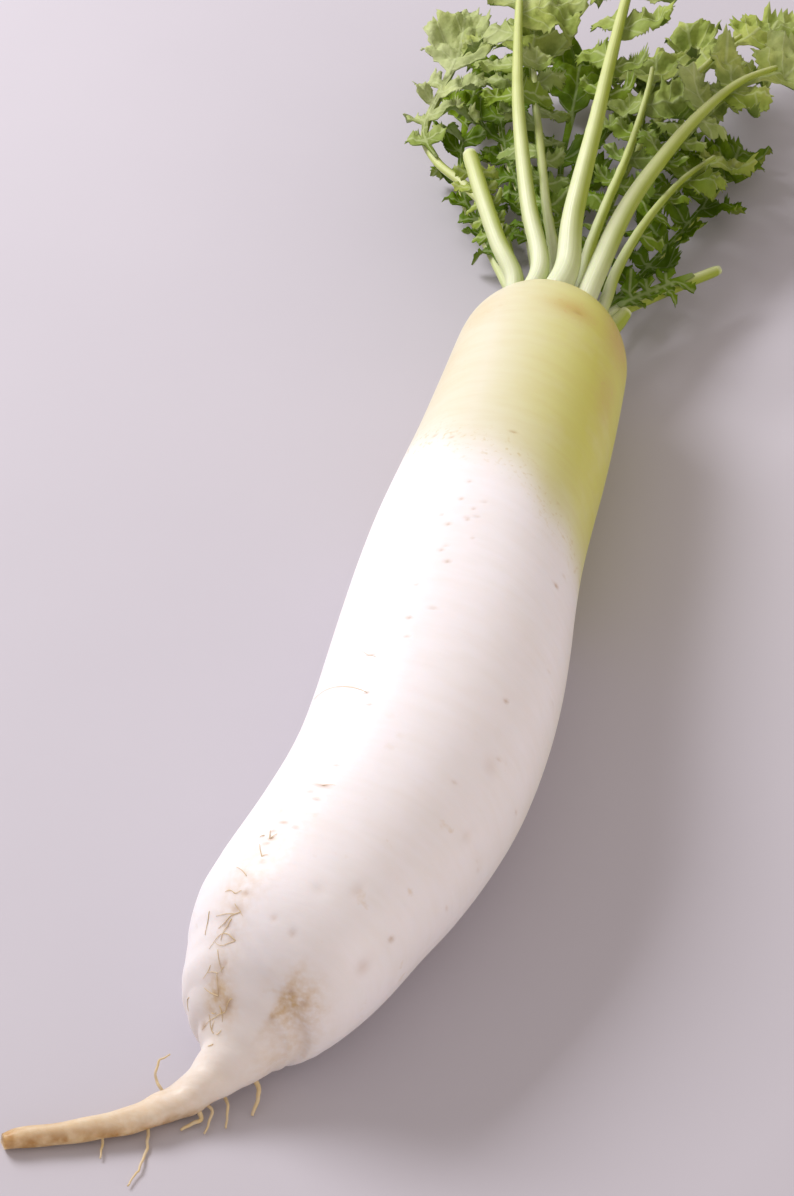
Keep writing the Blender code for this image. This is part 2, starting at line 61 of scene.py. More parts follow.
# the root's centre line, tail first: x, y, radius
ROOT_LINE = [
    (-72.8, -179.9, 2.4), (-68.6, -177.4, 3.0), (-58.0, -172.0, 3.3), (-47.3, -166.4, 3.6),
    (-37.5, -159.5, 4.2), (-28.5, -150.5, 5.3), (-21.5, -141.5, 7.6), (-19.0, -135.5, 12.0),
    (-18.2, -130.5, 17.6), (-17.4, -125.5, 22.8), (-15.2, -118.5, 27.9), (-12.3, -109.5, 31.3),
    (-8.75, -98.0, 32.85), (-5.05, -82.0, 33.85), (-1.7, -66.0, 35.1), (0.9, -49.0, 36.1),
    (2.0, -32.0, 37.0), (1.2, -13.0, 37.7), (-0.9, 7.0, 38.0), (-4.0, 28.0, 37.6),
    (-7.6, 50.0, 36.7), (-10.8, 73.0, 35.7), (-13.2, 97.0, 34.6), (-15.3, 122.0, 33.5),
    (-17.8, 147.0, 32.3), (-20.9, 173.0, 31.0),
]
# shoulder and crown: distance beyond the last point above, and radius
CROWN_PROFILE = [(8.0, 30.3), (15.0, 28.7), (21.0, 26.0), (25.0, 23.1), (28.0, 19.6), (29.8, 15.0),
                 (30.8, 9.0)]
CROWN_TIP = 31.2
CROWN_CENTRE_Z = 31.0
FLAT_DEPTH = 0.5  # how far the belly is pressed flat where the root rests
FLAT_FROM_Y = -75.0
FLAT_TO_Y = 125.0
BELLY_CLEARANCE = 0.25  # under the rest of the root
UNEVEN = 0.35  # lumps of the skin
FULL_LUMP_RADIUS = 30.0  # thinner parts have smaller lumps
THIN_ROOT = 25.0  # where the root is thinner than this it lifts off the surface
TAIL_RADIUS = 6.0  # and from here on the tail lies down again
TAIL_LIFT = 0.15

# rootlets on the tail: points (x, y, z), and radius at the first one
ROOTLETS = [
    ([(-16.0, -133.5, 8.0), (-10.6, -137.5, 6.0), (-8.3, -141.0, 3.6), (-8.4, -146.0, 1.2)], 1.1),
    ([(-27.0, -149.0, 4.5), (-22.0, -152.5, 2.4), (-26.3, -158.2, 1.0)], 1.0),
    ([(-24.0, -146.0, 4.5), (-19.6, -150.8, 2.6), (-18.9, -156.5, 0.9)], 0.7),
    ([(-21.0, -142.0, 5.0), (-15.8, -146.6, 3.0), (-14.2, -153.0, 0.9)], 0.7),
    ([(-37.0, -158.5, 3.5), (-34.6, -162.6, 1.6), (-32.7, -169.8, 0.9), (-32.6, -177.0, 0.8),
      (-33.4, -181.5, 0.8)], 0.6),
    ([(-31.5, -152.5, 6.0), (-37.0, -149.5, 9.5), (-37.6, -145.5, 12.5), (-35.0, -142.5, 14.0)], 0.6),
    ([(-47.0, -166.0, 3.0), (-45.4, -170.5, 1.2), (-44.3, -174.5, 0.8)], 0.6),
]

NODE_GAP = 0.35  # between a stalk and the root
BLADE_GAP = 0.6  # between a stalk and its blade
BLADE_HALF = 0.375  # half thickness of the solid's blade; the fine one is thinner, about the same middle
BLADE_LEAST_Z = 0.7  # no blade sinks through the surface that the radish rests on
STALK_END = 0.94  # of a leaf's length, where its rib runs out
FOOT_END = 0.2  # share of a stalk's length, where its foot ends
FOOT_TAPER = 0.7
LEAST_START = 0.4  # share of the length before which the stalk doesn't start to run out
STRIP_SHARE = 0.75  # half width of the blade's strip under the rib, of the stalk's radius
STRIP_LEAST = 1.1
LOBE_SWEEP = math.radians(58.0)  # of a lobe from the rib, pointing forwards
# half of a lobe's edge: share of its length, half width as a share of its width
OPEN_LOBE = [(0.0, 0.26), (0.22, 0.43), (0.33, 0.49), (0.43, 0.39), (0.57, 0.50), (0.67, 0.44),
             (0.75, 0.31), (0.90, 0.24)]
SMALL_LOBE = [(0.0, 0.22), (0.45, 0.50), (0.62, 0.28), (0.80, 0.34)]
FOOT_SHARE = 0.6  # of a lobe's length, over which its foot turns square to the rib
LEAST_WIDTH = 6.0
SMALL_LOBE_LENGTH = 11.0  # shorter lobes have the simpler edge
TIP_EDGE = [(0.0, 0.05), (0.16, 0.21), (0.28, 0.41), (0.36, 0.47), (0.43, 0.38), (0.54, 0.48), (0.62, 0.46),
            (0.69, 0.34), (0.80, 0.34), (0.87, 0.21), (0.96, 0.12)]
FOLD = 0.85  # steepest slope of a lobe up or down from the rib
TWIST = 0.75  # slope across a lobe at its tip
TIP_CALM = 0.45  # of those, for the lobe at a leaf's tip
RIPPLE = 1.6
RIPPLE_WAVE = 13.0
RIPPLE_FULL_LENGTH = 16.0  # shorter lobes ripple less
LENGTH_SPREAD = (0.62, 1.15)  # of a lobe, of what its place on the leaf gives
WIDTH_SPREAD = (0.75, 1.0)  # of its length
SWEEP_SPREAD = (0.96, 1.03)
LOBE_PITCH = 0.55  # half of the room a lobe takes along the rib, of its width, if it stood square
STRIP_LEAD = 2.0  # strip of blade under the rib beyond the first and last lobes
STRIP_END_SHARE = 0.6  # its width there, of its width elsewhere

# base: place on the crown (angle from straight up in degrees, distance from the crown's middle)
# radii: of the stalk, at the crown, a fifth of the way out, where the blade starts, at the end
# side: of the stalk that the blade is on, -1 under it, 1 over it; roll: of the blade, in degrees
# line: points of the stalk's centre after the base (x, y, z)
# start: share of the length where the blade starts
# lobes: lengths of the first lobe and of the last; lean: how much longer those on the right are
# tip: length and width of the tip lobe; fold: most that a lobe rises or drops
LEAVES = {
    "leaf_1": dict(
        base=(-103, 17.0), radii=(2.3, 2.1, 1.7, 0.8), side=1, roll=-6,
        start=0.59, lobes=(13, 18), lean=0.3, tip=(32, 32), fold=6.0, seed=11,
        line=[(-47, 226, 28), (-61, 254, 30), (-79, 270, 32), (-94, 280, 33), (-104, 294, 34), (-106, 318, 35),
              (-108, 350, 33)]),
    "leaf_2": dict(
        base=(-42, 14.0), radii=(4.0, 3.2, 2.4, 0.9), side=-1, roll=4,
        start=0.48, lobes=(14, 42), lean=-0.1, tip=(48, 48), fold=8.0, seed=36,
        line=[(-34, 217, 45), (-47, 243, 52), (-64, 285, 61), (-76, 322, 66), (-86, 356, 66), (-94, 382, 62)]),
    "leaf_3": dict(
        base=(-25, 5.5), radii=(2.4, 2.1, 1.7, 0.8), side=-1, roll=12,
        start=0.26, lobes=(8, 24), lean=0.0, tip=(32, 32), fold=5.0, seed=13,
        line=[(-29, 218, 37), (-33, 232, 39), (-42, 252, 42), (-51, 275, 45), (-63, 306, 48), (-73, 334, 48),
              (-79, 354, 45)]),
    "leaf_4": dict(
        base=(2, 13.5), radii=(5.5, 4.0, 2.7, 0.9), side=-1, roll=-4,
        start=0.46, lobes=(14, 38), lean=0.15, tip=(48, 46), fold=7.0, seed=31,
        line=[(-24, 218, 46), (-28, 237, 54), (-31, 272, 68), (-35, 310, 80), (-39, 348, 86), (-41, 384, 82)]),
    "leaf_5": dict(
        base=(60, 6.0), radii=(2.4, 2.2, 1.9, 0.8), side=-1, roll=-8,
        start=0.26, lobes=(8, 26), lean=0.0, tip=(38, 36), fold=4.0, seed=28,
        line=[(-20, 218, 33), (-23, 242, 35), (-24, 269, 38), (-24, 298, 42), (-28, 338, 42), (-33, 366, 40)]),
    "leaf_6": dict(
        base=(48, 14.0), radii=(4.3, 3.8, 2.8, 0.9), side=-1, roll=6,
        start=0.46, lobes=(13, 32), lean=-0.35, tip=(40, 38), fold=5.5, seed=49,
        line=[(-14, 221, 43), (-13, 253, 48), (-8, 283, 52), (-1, 314, 54), (8, 342, 53), (22, 368, 48)]),
    "leaf_7": dict(
        base=(88, 14.5), radii=(2.6, 2.3, 1.8, 0.8), side=-1, roll=2,
        start=0.4, lobes=(10, 20), lean=-0.2, tip=(26, 26), fold=5.0, seed=17,
        line=[(-10, 220, 31), (-11, 240, 32), (-9, 268, 33), (-4, 298, 32), (2, 318, 30), (6, 330, 28)]),
    "leaf_8": dict(
        base=(-135, 13.0), radii=(3.0, 2.4, 1.8, 0.8), side=1, roll=3,
        start=0.36, lobes=(9, 21), lean=0.3, tip=(30, 30), fold=6.0, seed=18,
        line=[(-40, 220, 18), (-52, 240, 12), (-70, 268, 8), (-90, 298, 7), (-101, 334, 7), (-104, 354, 7)]),
    "leaf_9": dict(
        base=(180, 12.0), radii=(3.0, 2.4, 1.8, 0.8), side=1, roll=0,
        start=0.22, lobes=(9, 30), lean=0.1, tip=(36, 34), fold=6.0, seed=19,
        line=[(-27, 222, 15), (-34, 244, 10), (-46, 282, 7), (-58, 326, 7), (-64, 360, 7), (-67, 378, 7)]),
    "leaf_10": dict(
        base=(160, 5.5), radii=(2.5, 2.2, 1.8, 0.8), side=1, roll=0,
        start=0.26, lobes=(9, 25), lean=-0.25, tip=(32, 30), fold=6.0, seed=20,
        line=[(-18, 222, 18), (-13, 244, 10), (-7, 276, 7), (0, 308, 7), (4, 334, 7), (5, 350, 7)]),
    "leaf_11": dict(
        base=(-125, 6.5), radii=(2.3, 2.0, 1.6, 0.8), side=1, roll=0,
        start=0.3, lobes=(8, 20), lean=0.0, tip=(30, 28), fold=4.5, seed=21,
        line=[(-34, 222, 25), (-42, 240, 22), (-58, 276, 21), (-78, 314, 21), (-90, 346, 19.8), (-95, 362, 17.6)]),
    "leaf_12": dict(
        base=(100, 8.5), radii=(2.2, 2.0, 1.7, 0.8), side=-1, roll=0,
        start=0.56, lobes=(20, 28), lean=0.0, tip=(36, 34), fold=3.5, seed=27,
        line=[(-19.5, 219, 26), (-24.5, 244, 24.5), (-27.5, 285, 24.5), (-27, 330, 24.5), (-21, 368, 26),
              (-11, 400, 29), (-1, 418, 30)]),
}
# leaf stalks cut short, with the leaflets left on them: the same values, and where the leaflets stop
CUT_LEAVES = {
    "cut_leaf_1": dict(
        base=(-80, 15.0), radii=(3.6, 3.5, 3.3, 2.9), side=-1, roll=-10,
        start=0.42, stop=0.97, lobes=(6, 9), lean=0.0, tip=None, fold=4.0, seed=31,
        line=[(-42, 212, 40), (-52, 224, 45), (-63, 241, 49), (-76, 263, 53)]),
    "cut_leaf_2": dict(
        base=(141, 15.0), radii=(3.0, 3.0, 2.6, 2.0), side=1, roll=10,
        start=0.38, stop=0.8, lobes=(7, 10), lean=0.0, tip=None, fold=4.5, seed=32,
        line=[(-13, 216, 20), (-8, 231, 19), (4, 249, 18), (20, 272, 16)]),
}
LEAF_BASE = dict(base=(112, 15.5), radii=(2.6, 3.2, 3.3, 2.4), roll=0, start=0.6,
                 line=[(-7, 211, 24), (-4, 217, 26), (-2, 222, 28)])

# ---------------------------------------------------------------- settings


def srgb(hexed):
    """Linear red, green, blue and full alpha of an sRGB hex value."""
    values = [int(hexed[i:i + 2], 16) / 255.0 for i in (1, 3, 5)]
    return tuple(v / 12.92 if v <= 0.04045 else ((v + 0.055) / 1.055) ** 2.4 for v in values) + (1.0,)


def colour_setting(name, text, hexed):
    return FloatVectorProperty(name=name, description=text, size=4, subtype="COLOR", min=0.0, max=1.0,
                               default=srgb(hexed))


class RadishSkinSettings(bpy.types.PropertyGroup):
    """Sizes and colours of the root."""

    body: colour_setting("Body", "White skin of the body", "#f3eff2")
    neck: colour_setting("Neck", "Cream skin of the neck on its paler side", "#dedac4")
    # the neck's green is its own colour, laid deeper towards the right side, away from the light, as painted shade
    green: colour_setting("Green", "Yellow-green skin of the neck on its sunny side", "#cfce62")
    crown: colour_setting("Crown", "Tan skin round the crown and the edge of the green", "#c4ab60")
    tail: colour_setting("Tail", "Beige skin of the tail", "#dbceb9")
    stain: colour_setting("Stain", "Brown of the side root scars", "#b08750")
    soil: colour_setting("Soil", "Tan of the soil stains", "#cdab70")
    hair: colour_setting("Hair", "Straw colour of the rootlets", "#dcbf7c")
    neck_from: FloatProperty(name="Neck from", description="Where the green begins, along the root", default=0.084,
                             unit="LENGTH")
    pore_depth: FloatProperty(name="Pore depth", description="Depth of the side root scars", default=0.00045,
                              unit="LENGTH")
    hair_count: IntProperty(name="Hairs", description="Fine side roots left towards the tail", default=34, min=0)


class RadishLeafSettings(bpy.types.PropertyGroup):
    """Sizes and colours of the stalks and leaves."""

    stalk: colour_setting("Stalk", "Pale stalk near the crown", "#e3e8cc")
    stalk_mid: colour_setting("Outer stalk", "Green of a stalk's outer part", "#c7cf7c")
    # the flanks' own yellow-green, laid much stronger on the right flank, away from the light, as painted shade
    stalk_edge: colour_setting("Stalk edge", "Yellow-green flanks of a stalk", "#9aa936")
    upper: colour_setting("Upper face", "Upper face of a leaf", "#7f9a06")
    under: colour_setting("Underside", "Paler underside of a leaf", "#c9d46a")
    # painted shade: the deeper green laid near the crown and on the shaded leaves of the bunch
    inner: colour_setting("Inner leaflets", "Deeper green of the leaflets near the crown", "#6b8c02")
    # painted sheen: the pale sage laid where leaves face the light
    sage: colour_setting("Sage", "Blades that catch the light on their fine hairs", "#dfe6b4")
    vein: colour_setting("Vein", "Veins of a leaf", "#dbe4b2")
    thickness: FloatProperty(name="Blade thickness", description="Thickness of a leaf blade", default=0.0004,
                             unit="LENGTH")
    grain: FloatProperty(name="Blade mesh", description="Spacing of the points in a leaf blade", default=0.0012,
                         unit="LENGTH")


class RadishStageSettings(bpy.types.PropertyGroup):
    """Floor, light and camera."""

    floor: colour_setting("Floor", "Plain pale floor", "#c4c0c8")
    key_power: FloatProperty(name="Key light", description="Power of the large soft light", default=21.0, unit="POWER")
    fill_power: FloatProperty(name="Fill light", description="Power of the soft light from the right", default=3.6,
                              unit="POWER")
    sky: FloatProperty(name="Sky", description="Strength of the even light all round", default=0.64, min=0.0)
    window_tint: colour_setting("Window tint", "Daylight through a large window", "#fdfbff")
    fill_tint: colour_setting("Fill tint", "Warmer light back from the room", "#fff0e2")
    sky_tint: colour_setting("Sky tint", "Even light all round", "#f6ebe6")
    lens: FloatProperty(name="Lens", description="Focal length for a 36 mm high image", default=100.0, unit="CAMERA")


# ---------------------------------------------------------------- meshes


def make_object(name, points, faces, materials, uv=None, uv_name="along", slots=None, masks=None):
    """One smooth mesh object from points in millimetres, riding on the root body."""
    mesh = bpy.data.meshes.new(name)
    mesh.from_pydata([tuple(p) for p in (np.asarray(points, float) * MM)], [], faces)
    for made in materials:
        mesh.materials.append(made)
    mesh.polygons.foreach_set("use_smooth", [True] * len(mesh.polygons))
    if slots is not None:
        mesh.polygons.foreach_set("material_index", slots)
    if uv is not None:
        corners = np.empty(len(mesh.loops), dtype=np.int32)
        mesh.loops.foreach_get("vertex_index", corners)
        places = np.asarray(uv, float)[corners]
        if uv_name == "along":
            # the faces that close a tube run on past one turn instead of back to its start
            for face in mesh.polygons:
                turn = places[face.loop_start:face.loop_start + face.loop_total, 0]
                if turn.max() - turn.min() > 0.5:
                    turn[turn < 0.5] += 1.0
        mesh.uv_layers.new(name=uv_name).data.foreach_set("uv", places.ravel())
    for key, values in (masks or {}).items():
        mesh.attributes.new(key, "FLOAT", "POINT").data.foreach_set("value", np.asarray(values, float))
    mesh.validate()
    mesh.update()
    obj = bpy.data.objects.new(name, mesh)
    bpy.context.scene.collection.objects.link(obj)
    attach(obj, "root")
    return obj


def node(tree, kind, inputs=None, out=None, **settings):
    """Adds a node with its settings, sets or links its inputs, and gives the node or one of its outputs."""
    made = tree.nodes.new(kind)
    for key, value in settings.items():
        setattr(made, key, value)
    for key, value in (inputs or {}).items():
        if isinstance(value, bpy.types.NodeSocket):
            tree.links.new(value, made.inputs[key])
        else:
            made.inputs[key].default_value = value
    return made if out is None else made.outputs[out]


def new_material(name):
    """A material with an empty node tree."""
    mat = bpy.data.materials.new(name)
    mat.use_nodes = True
    mat.node_tree.nodes.clear()
    return mat, mat.node_tree


def grains(tree, noises):
    """Noises as shares from 0 to 1: place, scale, and the two values that become 0 and 1."""
    shares = {}
    for key, place, scale, low, high in noises:
        raw = node(tree, "ShaderNodeTexNoise", {"Vector": place, "Scale": scale, "Detail": 3.0}, "Fac")
        shares[key] = node(tree, "ShaderNodeMapRange", {"Value": raw, "From Min": low, "From Max": high}, 0)
    return shares


def layered(tree, colour, layers):
    """A colour with others laid over it: two shares whose product shows, and the colour that they bring in."""
    for first, second, over in layers:
        amount = node(tree, "ShaderNodeMath", {0: first, 1: second}, 0, operation="MULTIPLY")
        colour = node(tree, "ShaderNodeMix", {0: amount, 6: colour, 7: over}, 2, data_type="RGBA")
    return colour


# ---------------------------------------------------------------- materials

SKIN_MASKS = ("neck", "green", "crown", "edge", "tail", "soil", "scar", "flecked", "tail_darkening")


def washed_skin(look):
    """Washed radish skin: grown, scrubbed clean and damp. Thin, waxy and see-through to white flesh just under it.

    The eye gets a soft glow through the edge of the shade, a satin highlight, faint rings and a few soil stains.
    """
    mat, tree = new_material("radish_skin_washed")
    place = node(tree, "ShaderNodeTexCoord", out="Object")
    rings = node(tree, "ShaderNodeMapping", {"Vector": place, "Scale": (1.0, 5.0, 1.0)}, 0)
    # mottling about 11 mm across, growth rings about 3 mm apart (real ones are finer, drawn coarser to show)
    grain = grains(tree, [("mottle", place, 90.0, 0.35, 0.70), ("ring", rings, 60.0, 0.40, 0.75),
                          ("speck", place, 520.0, 0.56, 0.74), ("patch", place, 480.0, 0.30, 0.66),
                          ("cloud", place, 38.0, 0.45, 0.75), ("blotch", place, 62.0, 0.48, 0.70),
                          ("fleck", place, 150.0, 0.66, 0.78), ("dapple", place, 210.0, 0.36, 0.60)])
    share = {key: node(tree, "ShaderNodeAttribute", out="Fac", attribute_name=key) for key in SKIN_MASKS}
    # the neck's own green, deepening towards the right side away from the light as painted shade
    neck = layered(tree, tuple(look.neck), [
        (share["green"], 1.0, look.green), (grain["ring"], 0.12, look.crown), (grain["blotch"], 0.16, look.neck),
        (share["crown"], 1.0, look.crown), (share["crown"], grain["speck"], look.soil)])
    # the tail is laid darker and browner low down towards its end, and at its broken tip
    skin = layered(tree, tuple(look.body), [
        (grain["mottle"], 0.08, look.neck), (grain["cloud"], 0.10, look.tail), (grain["ring"], 0.10, look.tail),
        (share["neck"], 1.0, neck), (share["edge"], grain["speck"], look.crown), (share["tail"], 1.0, look.tail),
        (share["flecked"], grain["fleck"], look.soil), (share["soil"], 0.35, look.soil),
        (share["soil"], grain["patch"], look.soil), (share["tail_darkening"], 0.55, look.soil),
        (share["tail_darkening"], grain["dapple"], look.stain), (share["scar"], 1.0, look.stain)])
    # growth rings about 3 mm apart over broad hollows about 18 mm apart, rougher on the tail
    fine = node(tree, "ShaderNodeTexNoise", {"Vector": rings, "Scale": 75.0, "Detail": 3.0}, "Fac")
    broad = node(tree, "ShaderNodeTexNoise", {"Vector": place, "Scale": 55.0, "Detail": 2.0}, "Fac")
    rough = node(tree, "ShaderNodeMath", {0: share["tail"], 1: 0.5, 2: 0.20}, 0, operation="MULTIPLY_ADD")
    low = node(tree, "ShaderNodeBump", {"Height": broad, "Distance": 0.0012, "Strength": 0.22}, 0)
    bump = node(tree, "ShaderNodeBump", {"Height": fine, "Distance": 0.0006, "Strength": rough, "Normal": low}, 0)
    shader = node(tree, "ShaderNodeBsdfPrincipled",
                  {"Base Color": skin, "Roughness": 0.40, "IOR": 1.40, "Subsurface Weight": 0.55,
                   "Subsurface Radius": (1.0, 0.88, 0.78), "Subsurface Scale": 0.007, "Normal": bump}, 0)
    node(tree, "ShaderNodeOutputMaterial", {"Surface": shader})
    return mat


def dry_rootlet(look):
    """Fine root hair: grown, then dried after washing. The eye gets a thin, dull, tan thread, uneven in colour."""
    mat, tree = new_material("rootlet_dry")
    place = node(tree, "ShaderNodeTexCoord", out="Object")
    # its colour changes about every 2.5 mm
    shade = node(tree, "ShaderNodeTexNoise", {"Vector": place, "Scale": 400.0, "Detail": 3.0}, "Fac")
    tint = node(tree, "ShaderNodeMix", {0: shade, 6: look.tail, 7: look.hair}, 2, data_type="RGBA")
    shader = node(tree, "ShaderNodeBsdfPrincipled", {"Base Color": tint, "Roughness": 0.7, "IOR": 1.45}, 0)
    node(tree, "ShaderNodeOutputMaterial", {"Surface": shader})
    return mat


def fresh_stalk(look):
    """Leaf stalk: grown, crisp and full of water.

    The eye gets a pale, satin rod, ribbed lengthwise and greener outwards.
    """
    mat, tree = new_material("stalk_fresh")
    along = node(tree, "ShaderNodeUVMap", out=0, uv_map="along")
    split = node(tree, "ShaderNodeSeparateXYZ", {"Vector": along})
    # fibres about 0.7 mm apart round a stalk (real ones are finer), and many times longer
    fibres = node(tree, "ShaderNodeMapping", {"Vector": along, "Scale": (30.0, 2.5, 1.0)}, 0)
    place = node(tree, "ShaderNodeTexCoord", out="Object")
    grain = grains(tree, [("fibre", fibres, 1.0, 0.3, 0.7), ("blotch", place, 130.0, 0.3, 0.7)])
    # a stalk is greenest down its two flanks, where the blade's edges run on; the right flank, away from the light, is
    # greener still, which is painted shade
    turn = node(tree, "ShaderNodeMath", {0: split.outputs["X"], 1: 2.0 * math.pi}, 0, operation="MULTIPLY")
    flank = node(tree, "ShaderNodeMath", {0: turn}, 0, operation="SINE")
    ramps = [("out", split.outputs["Y"], 0.03, 0.55, 0.0, 0.95), ("grown", split.outputs["Y"], 0.02, 0.20, 0.40, 1.0),
             ("right", flank, -0.25, 0.65, 0.0, 1.0), ("left", flank, -0.80, -1.0, 0.0, 0.45)]
    share = {}
    for key, value, low, high, least, most in ramps:
        share[key] = node(tree, "ShaderNodeMapRange", {"Value": value, "From Min": low, "From Max": high,
                                                       "To Min": least, "To Max": most}, 0)
    cut = node(tree, "ShaderNodeAttribute", out="Fac", attribute_name="cut")
    tint = layered(tree, tuple(look.stalk), [
        (share["out"], 0.80, look.stalk_mid), (share["right"], share["grown"], look.stalk_edge),
        (share["left"], share["grown"], look.stalk_edge), (grain["fibre"], 0.14, look.stalk_edge),
        (grain["blotch"], 0.10, look.upper), (cut, 1.0, look.vein)])
    bump = node(tree, "ShaderNodeBump", {"Height": grain["fibre"], "Distance": 0.0004, "Strength": 0.35}, 0)
    shader = node(tree, "ShaderNodeBsdfPrincipled",
                  {"Base Color": tint, "Roughness": 0.38, "IOR": 1.42, "Subsurface Weight": 0.25,
                   "Subsurface Radius": (0.8, 1.0, 0.4), "Subsurface Scale": 0.002, "Normal": bump}, 0)
    node(tree, "ShaderNodeOutputMaterial", {"Surface": shader})
    return mat


def leaf_face(look, name, face, vein_share):
    """Radish leaf: grown, thin, soft and slightly hairy.

    The eye gets matt green with a net of paler veins and puckers. Light comes through it, so a lobe against the
    light looks yellower.
    """
    mat, tree = new_material(name)
    spot = node(tree, "ShaderNodeUVMap", out=0, uv_map="leaf")
    split = node(tree, "ShaderNodeSeparateXYZ", {"Vector": spot})
    away = node(tree, "ShaderNodeMath", {0: split.outputs["Y"]}, 0, operation="ABSOLUTE")
    # the main vein fades out 0.75 mm from its middle, a side vein 0.5 mm from its own
    main = node(tree, "ShaderNodeMapRange", {"Value": away, "From Min": 0.20, "From Max": 0.75, "To Min": 1.0,
                                             "To Max": 0.0}, 0)
    # side veins leave the main one and run forwards, in the creases between the puckers
    swept = node(tree, "ShaderNodeMath", {0: away, 1: -VEIN_SWEEP, 2: split.outputs["X"]}, 0,
                 operation="MULTIPLY_ADD")
    turn = node(tree, "ShaderNodeMath", {0: swept, 1: VEIN_PITCH / 2.0}, 0, operation="PINGPONG")
    side = node(tree, "ShaderNodeMapRange", {"Value": turn, "From Min": 0.12, "From Max": 0.50, "To Min": 0.75,
                                             "To Max": 0.0}, 0)
    veins = node(tree, "ShaderNodeMath", {0: main, 1: side}, 0, operation="MAXIMUM")
    place = node(tree, "ShaderNodeTexCoord", out="Object")
    # darker patches about 13 mm across, puckers about 2 mm apart
    grain = grains(tree, [("patch", place, 75.0, 0.40, 0.60), ("pucker", place, 420.0, 0.25, 0.75)])
    dark = tuple(c * s for c, s in zip(face, (0.36, 0.46, 0.14, 1.0)))
    # painted shade: a deeper green near the crown and on the leaves in the bunch's shade
    inner = node(tree, "ShaderNodeAttribute", out="Fac", attribute_name="inner")
    # painted sheen: pale sage where a leaf faces the light
    pale = node(tree, "ShaderNodeAttribute", out="Fac", attribute_name="pale")
    tint = layered(tree, tuple(face), [
        (inner, 1.0, look.inner), (grain["patch"], 0.70, dark), (pale, 0.85, look.sage),
        (grain["pucker"], 0.35, dark), (veins, vein_share, look.vein)])
    raised = node(tree, "ShaderNodeMath", {0: veins, 1: -0.6, 2: grain["pucker"]}, 0, operation="MULTIPLY_ADD")
    bump = node(tree, "ShaderNodeBump", {"Height": raised, "Distance": 0.0006, "Strength": 0.5}, 0)
    shader = node(tree, "ShaderNodeBsdfPrincipled", {"Base Color": tint, "Roughness": 0.58, "IOR": 1.30,
                                                     "Normal": bump}, 0)
    bright = tuple(c * s for c, s in zip(face, (1.0, 1.1, 0.25, 1.0)))
    through = node(tree, "ShaderNodeMix", {0: 0.5, 6: tint, 7: bright}, 2, data_type="RGBA")
    glow = node(tree, "ShaderNodeBsdfTranslucent", {"Color": through, "Normal": bump}, 0)
    both = node(tree, "ShaderNodeMixShader", {"Fac": 0.26, 1: shader, 2: glow}, 0)
    node(tree, "ShaderNodeOutputMaterial", {"Surface": both})
    return mat


def plain_floor(look):
    """Matt painted board: rolled on evenly. The eye gets a pale, even ground that takes soft shadows."""
    mat, tree = new_material("floor_matt_paint")
    place = node(tree, "ShaderNodeTexCoord", out="Object")
    shade = node(tree, "ShaderNodeTexNoise", {"Vector": place, "Scale": 9.0, "Detail": 3.0}, "Fac")
    darker = tuple(c * s for c, s in zip(look.floor, (0.94, 0.94, 0.94, 1.0)))
    tint = node(tree, "ShaderNodeMix", {0: shade, 6: look.floor, 7: darker}, 2, data_type="RGBA")
    shader = node(tree, "ShaderNodeBsdfPrincipled", {"Base Color": tint, "Roughness": 0.9}, 0)
    node(tree, "ShaderNodeOutputMaterial", {"Surface": shader})
    return mat


# ---------------------------------------------------------------- centre lines


def curve_point(points, t):
    """A point on the smooth curve through the points; t counts points from 0."""
    last = len(points) - 1
    i = min(int(t), last - 1)
    u = t - i
    p1 = Vector(points[i])
    p2 = Vector(points[i + 1])
    p0 = Vector(points[i - 1]) if i > 0 else p1 * 2.0 - p2
    p3 = Vector(points[i + 2]) if i + 2 <= last else p2 * 2.0 - p1
    return 0.5 * (2.0 * p1 + (p2 - p0) * u + (2.0 * p0 - 5.0 * p1 + 4.0 * p2 - p3) * u * u
                  + (3.0 * p1 - p0 - 3.0 * p2 + p3) * u * u * u)


class Line:
    """A smooth centre line measured by its length, with a side and an up direction along it."""

    SAMPLES = 240
    LOOK = 0.03  # share of the length looked ahead and back for the direction

    def __init__(self, points, roll=0.0):
        self.roll = roll
        last = len(points) - 1
        self.path = [curve_point(points, last * i / self.SAMPLES) for i in range(self.SAMPLES + 1)]
        self.at = [0.0]
        for a, b in zip(self.path, self.path[1:]):
            self.at.append(self.at[-1] + (b - a).length)
        self.length = self.at[-1]

    def place(self, u):
        """The point at a length along it."""
        u = min(max(u, 0.0), self.length)
        low = min(bisect_right(self.at, u) - 1, self.SAMPLES - 1)
        share = (u - self.at[low]) / (self.at[low + 1] - self.at[low])
        return self.path[low].lerp(self.path[low + 1], share)

    def frame(self, u):
        """Point, direction, side (to the right of it) and up."""
        reach = self.length * self.LOOK
        middle = min(max(u, 0.0), self.length)
        ahead = (self.place(middle + reach) - self.place(middle - reach)).normalized()
        side = ahead.cross(Vector((0.0, 0.0, 1.0))).normalized()
        up = side.cross(ahead)
        turned = side * math.cos(self.roll) - up * math.sin(self.roll)
        return self.place(u), ahead, turned, turned.cross(ahead)


def crown_axis():
    """Direction of the root's line where it ends, level."""
    a = Vector((ROOT_LINE[-2][0], ROOT_LINE[-2][1], 0.0))
    b = Vector((ROOT_LINE[-1][0], ROOT_LINE[-1][1], 0.0))
    return (b - a).normalized()


def crown_start():
    """The end of the root's line, in the middle of the shoulder."""
    return Vector((ROOT_LINE[-1][0], ROOT_LINE[-1][1], CROWN_CENTRE_Z))


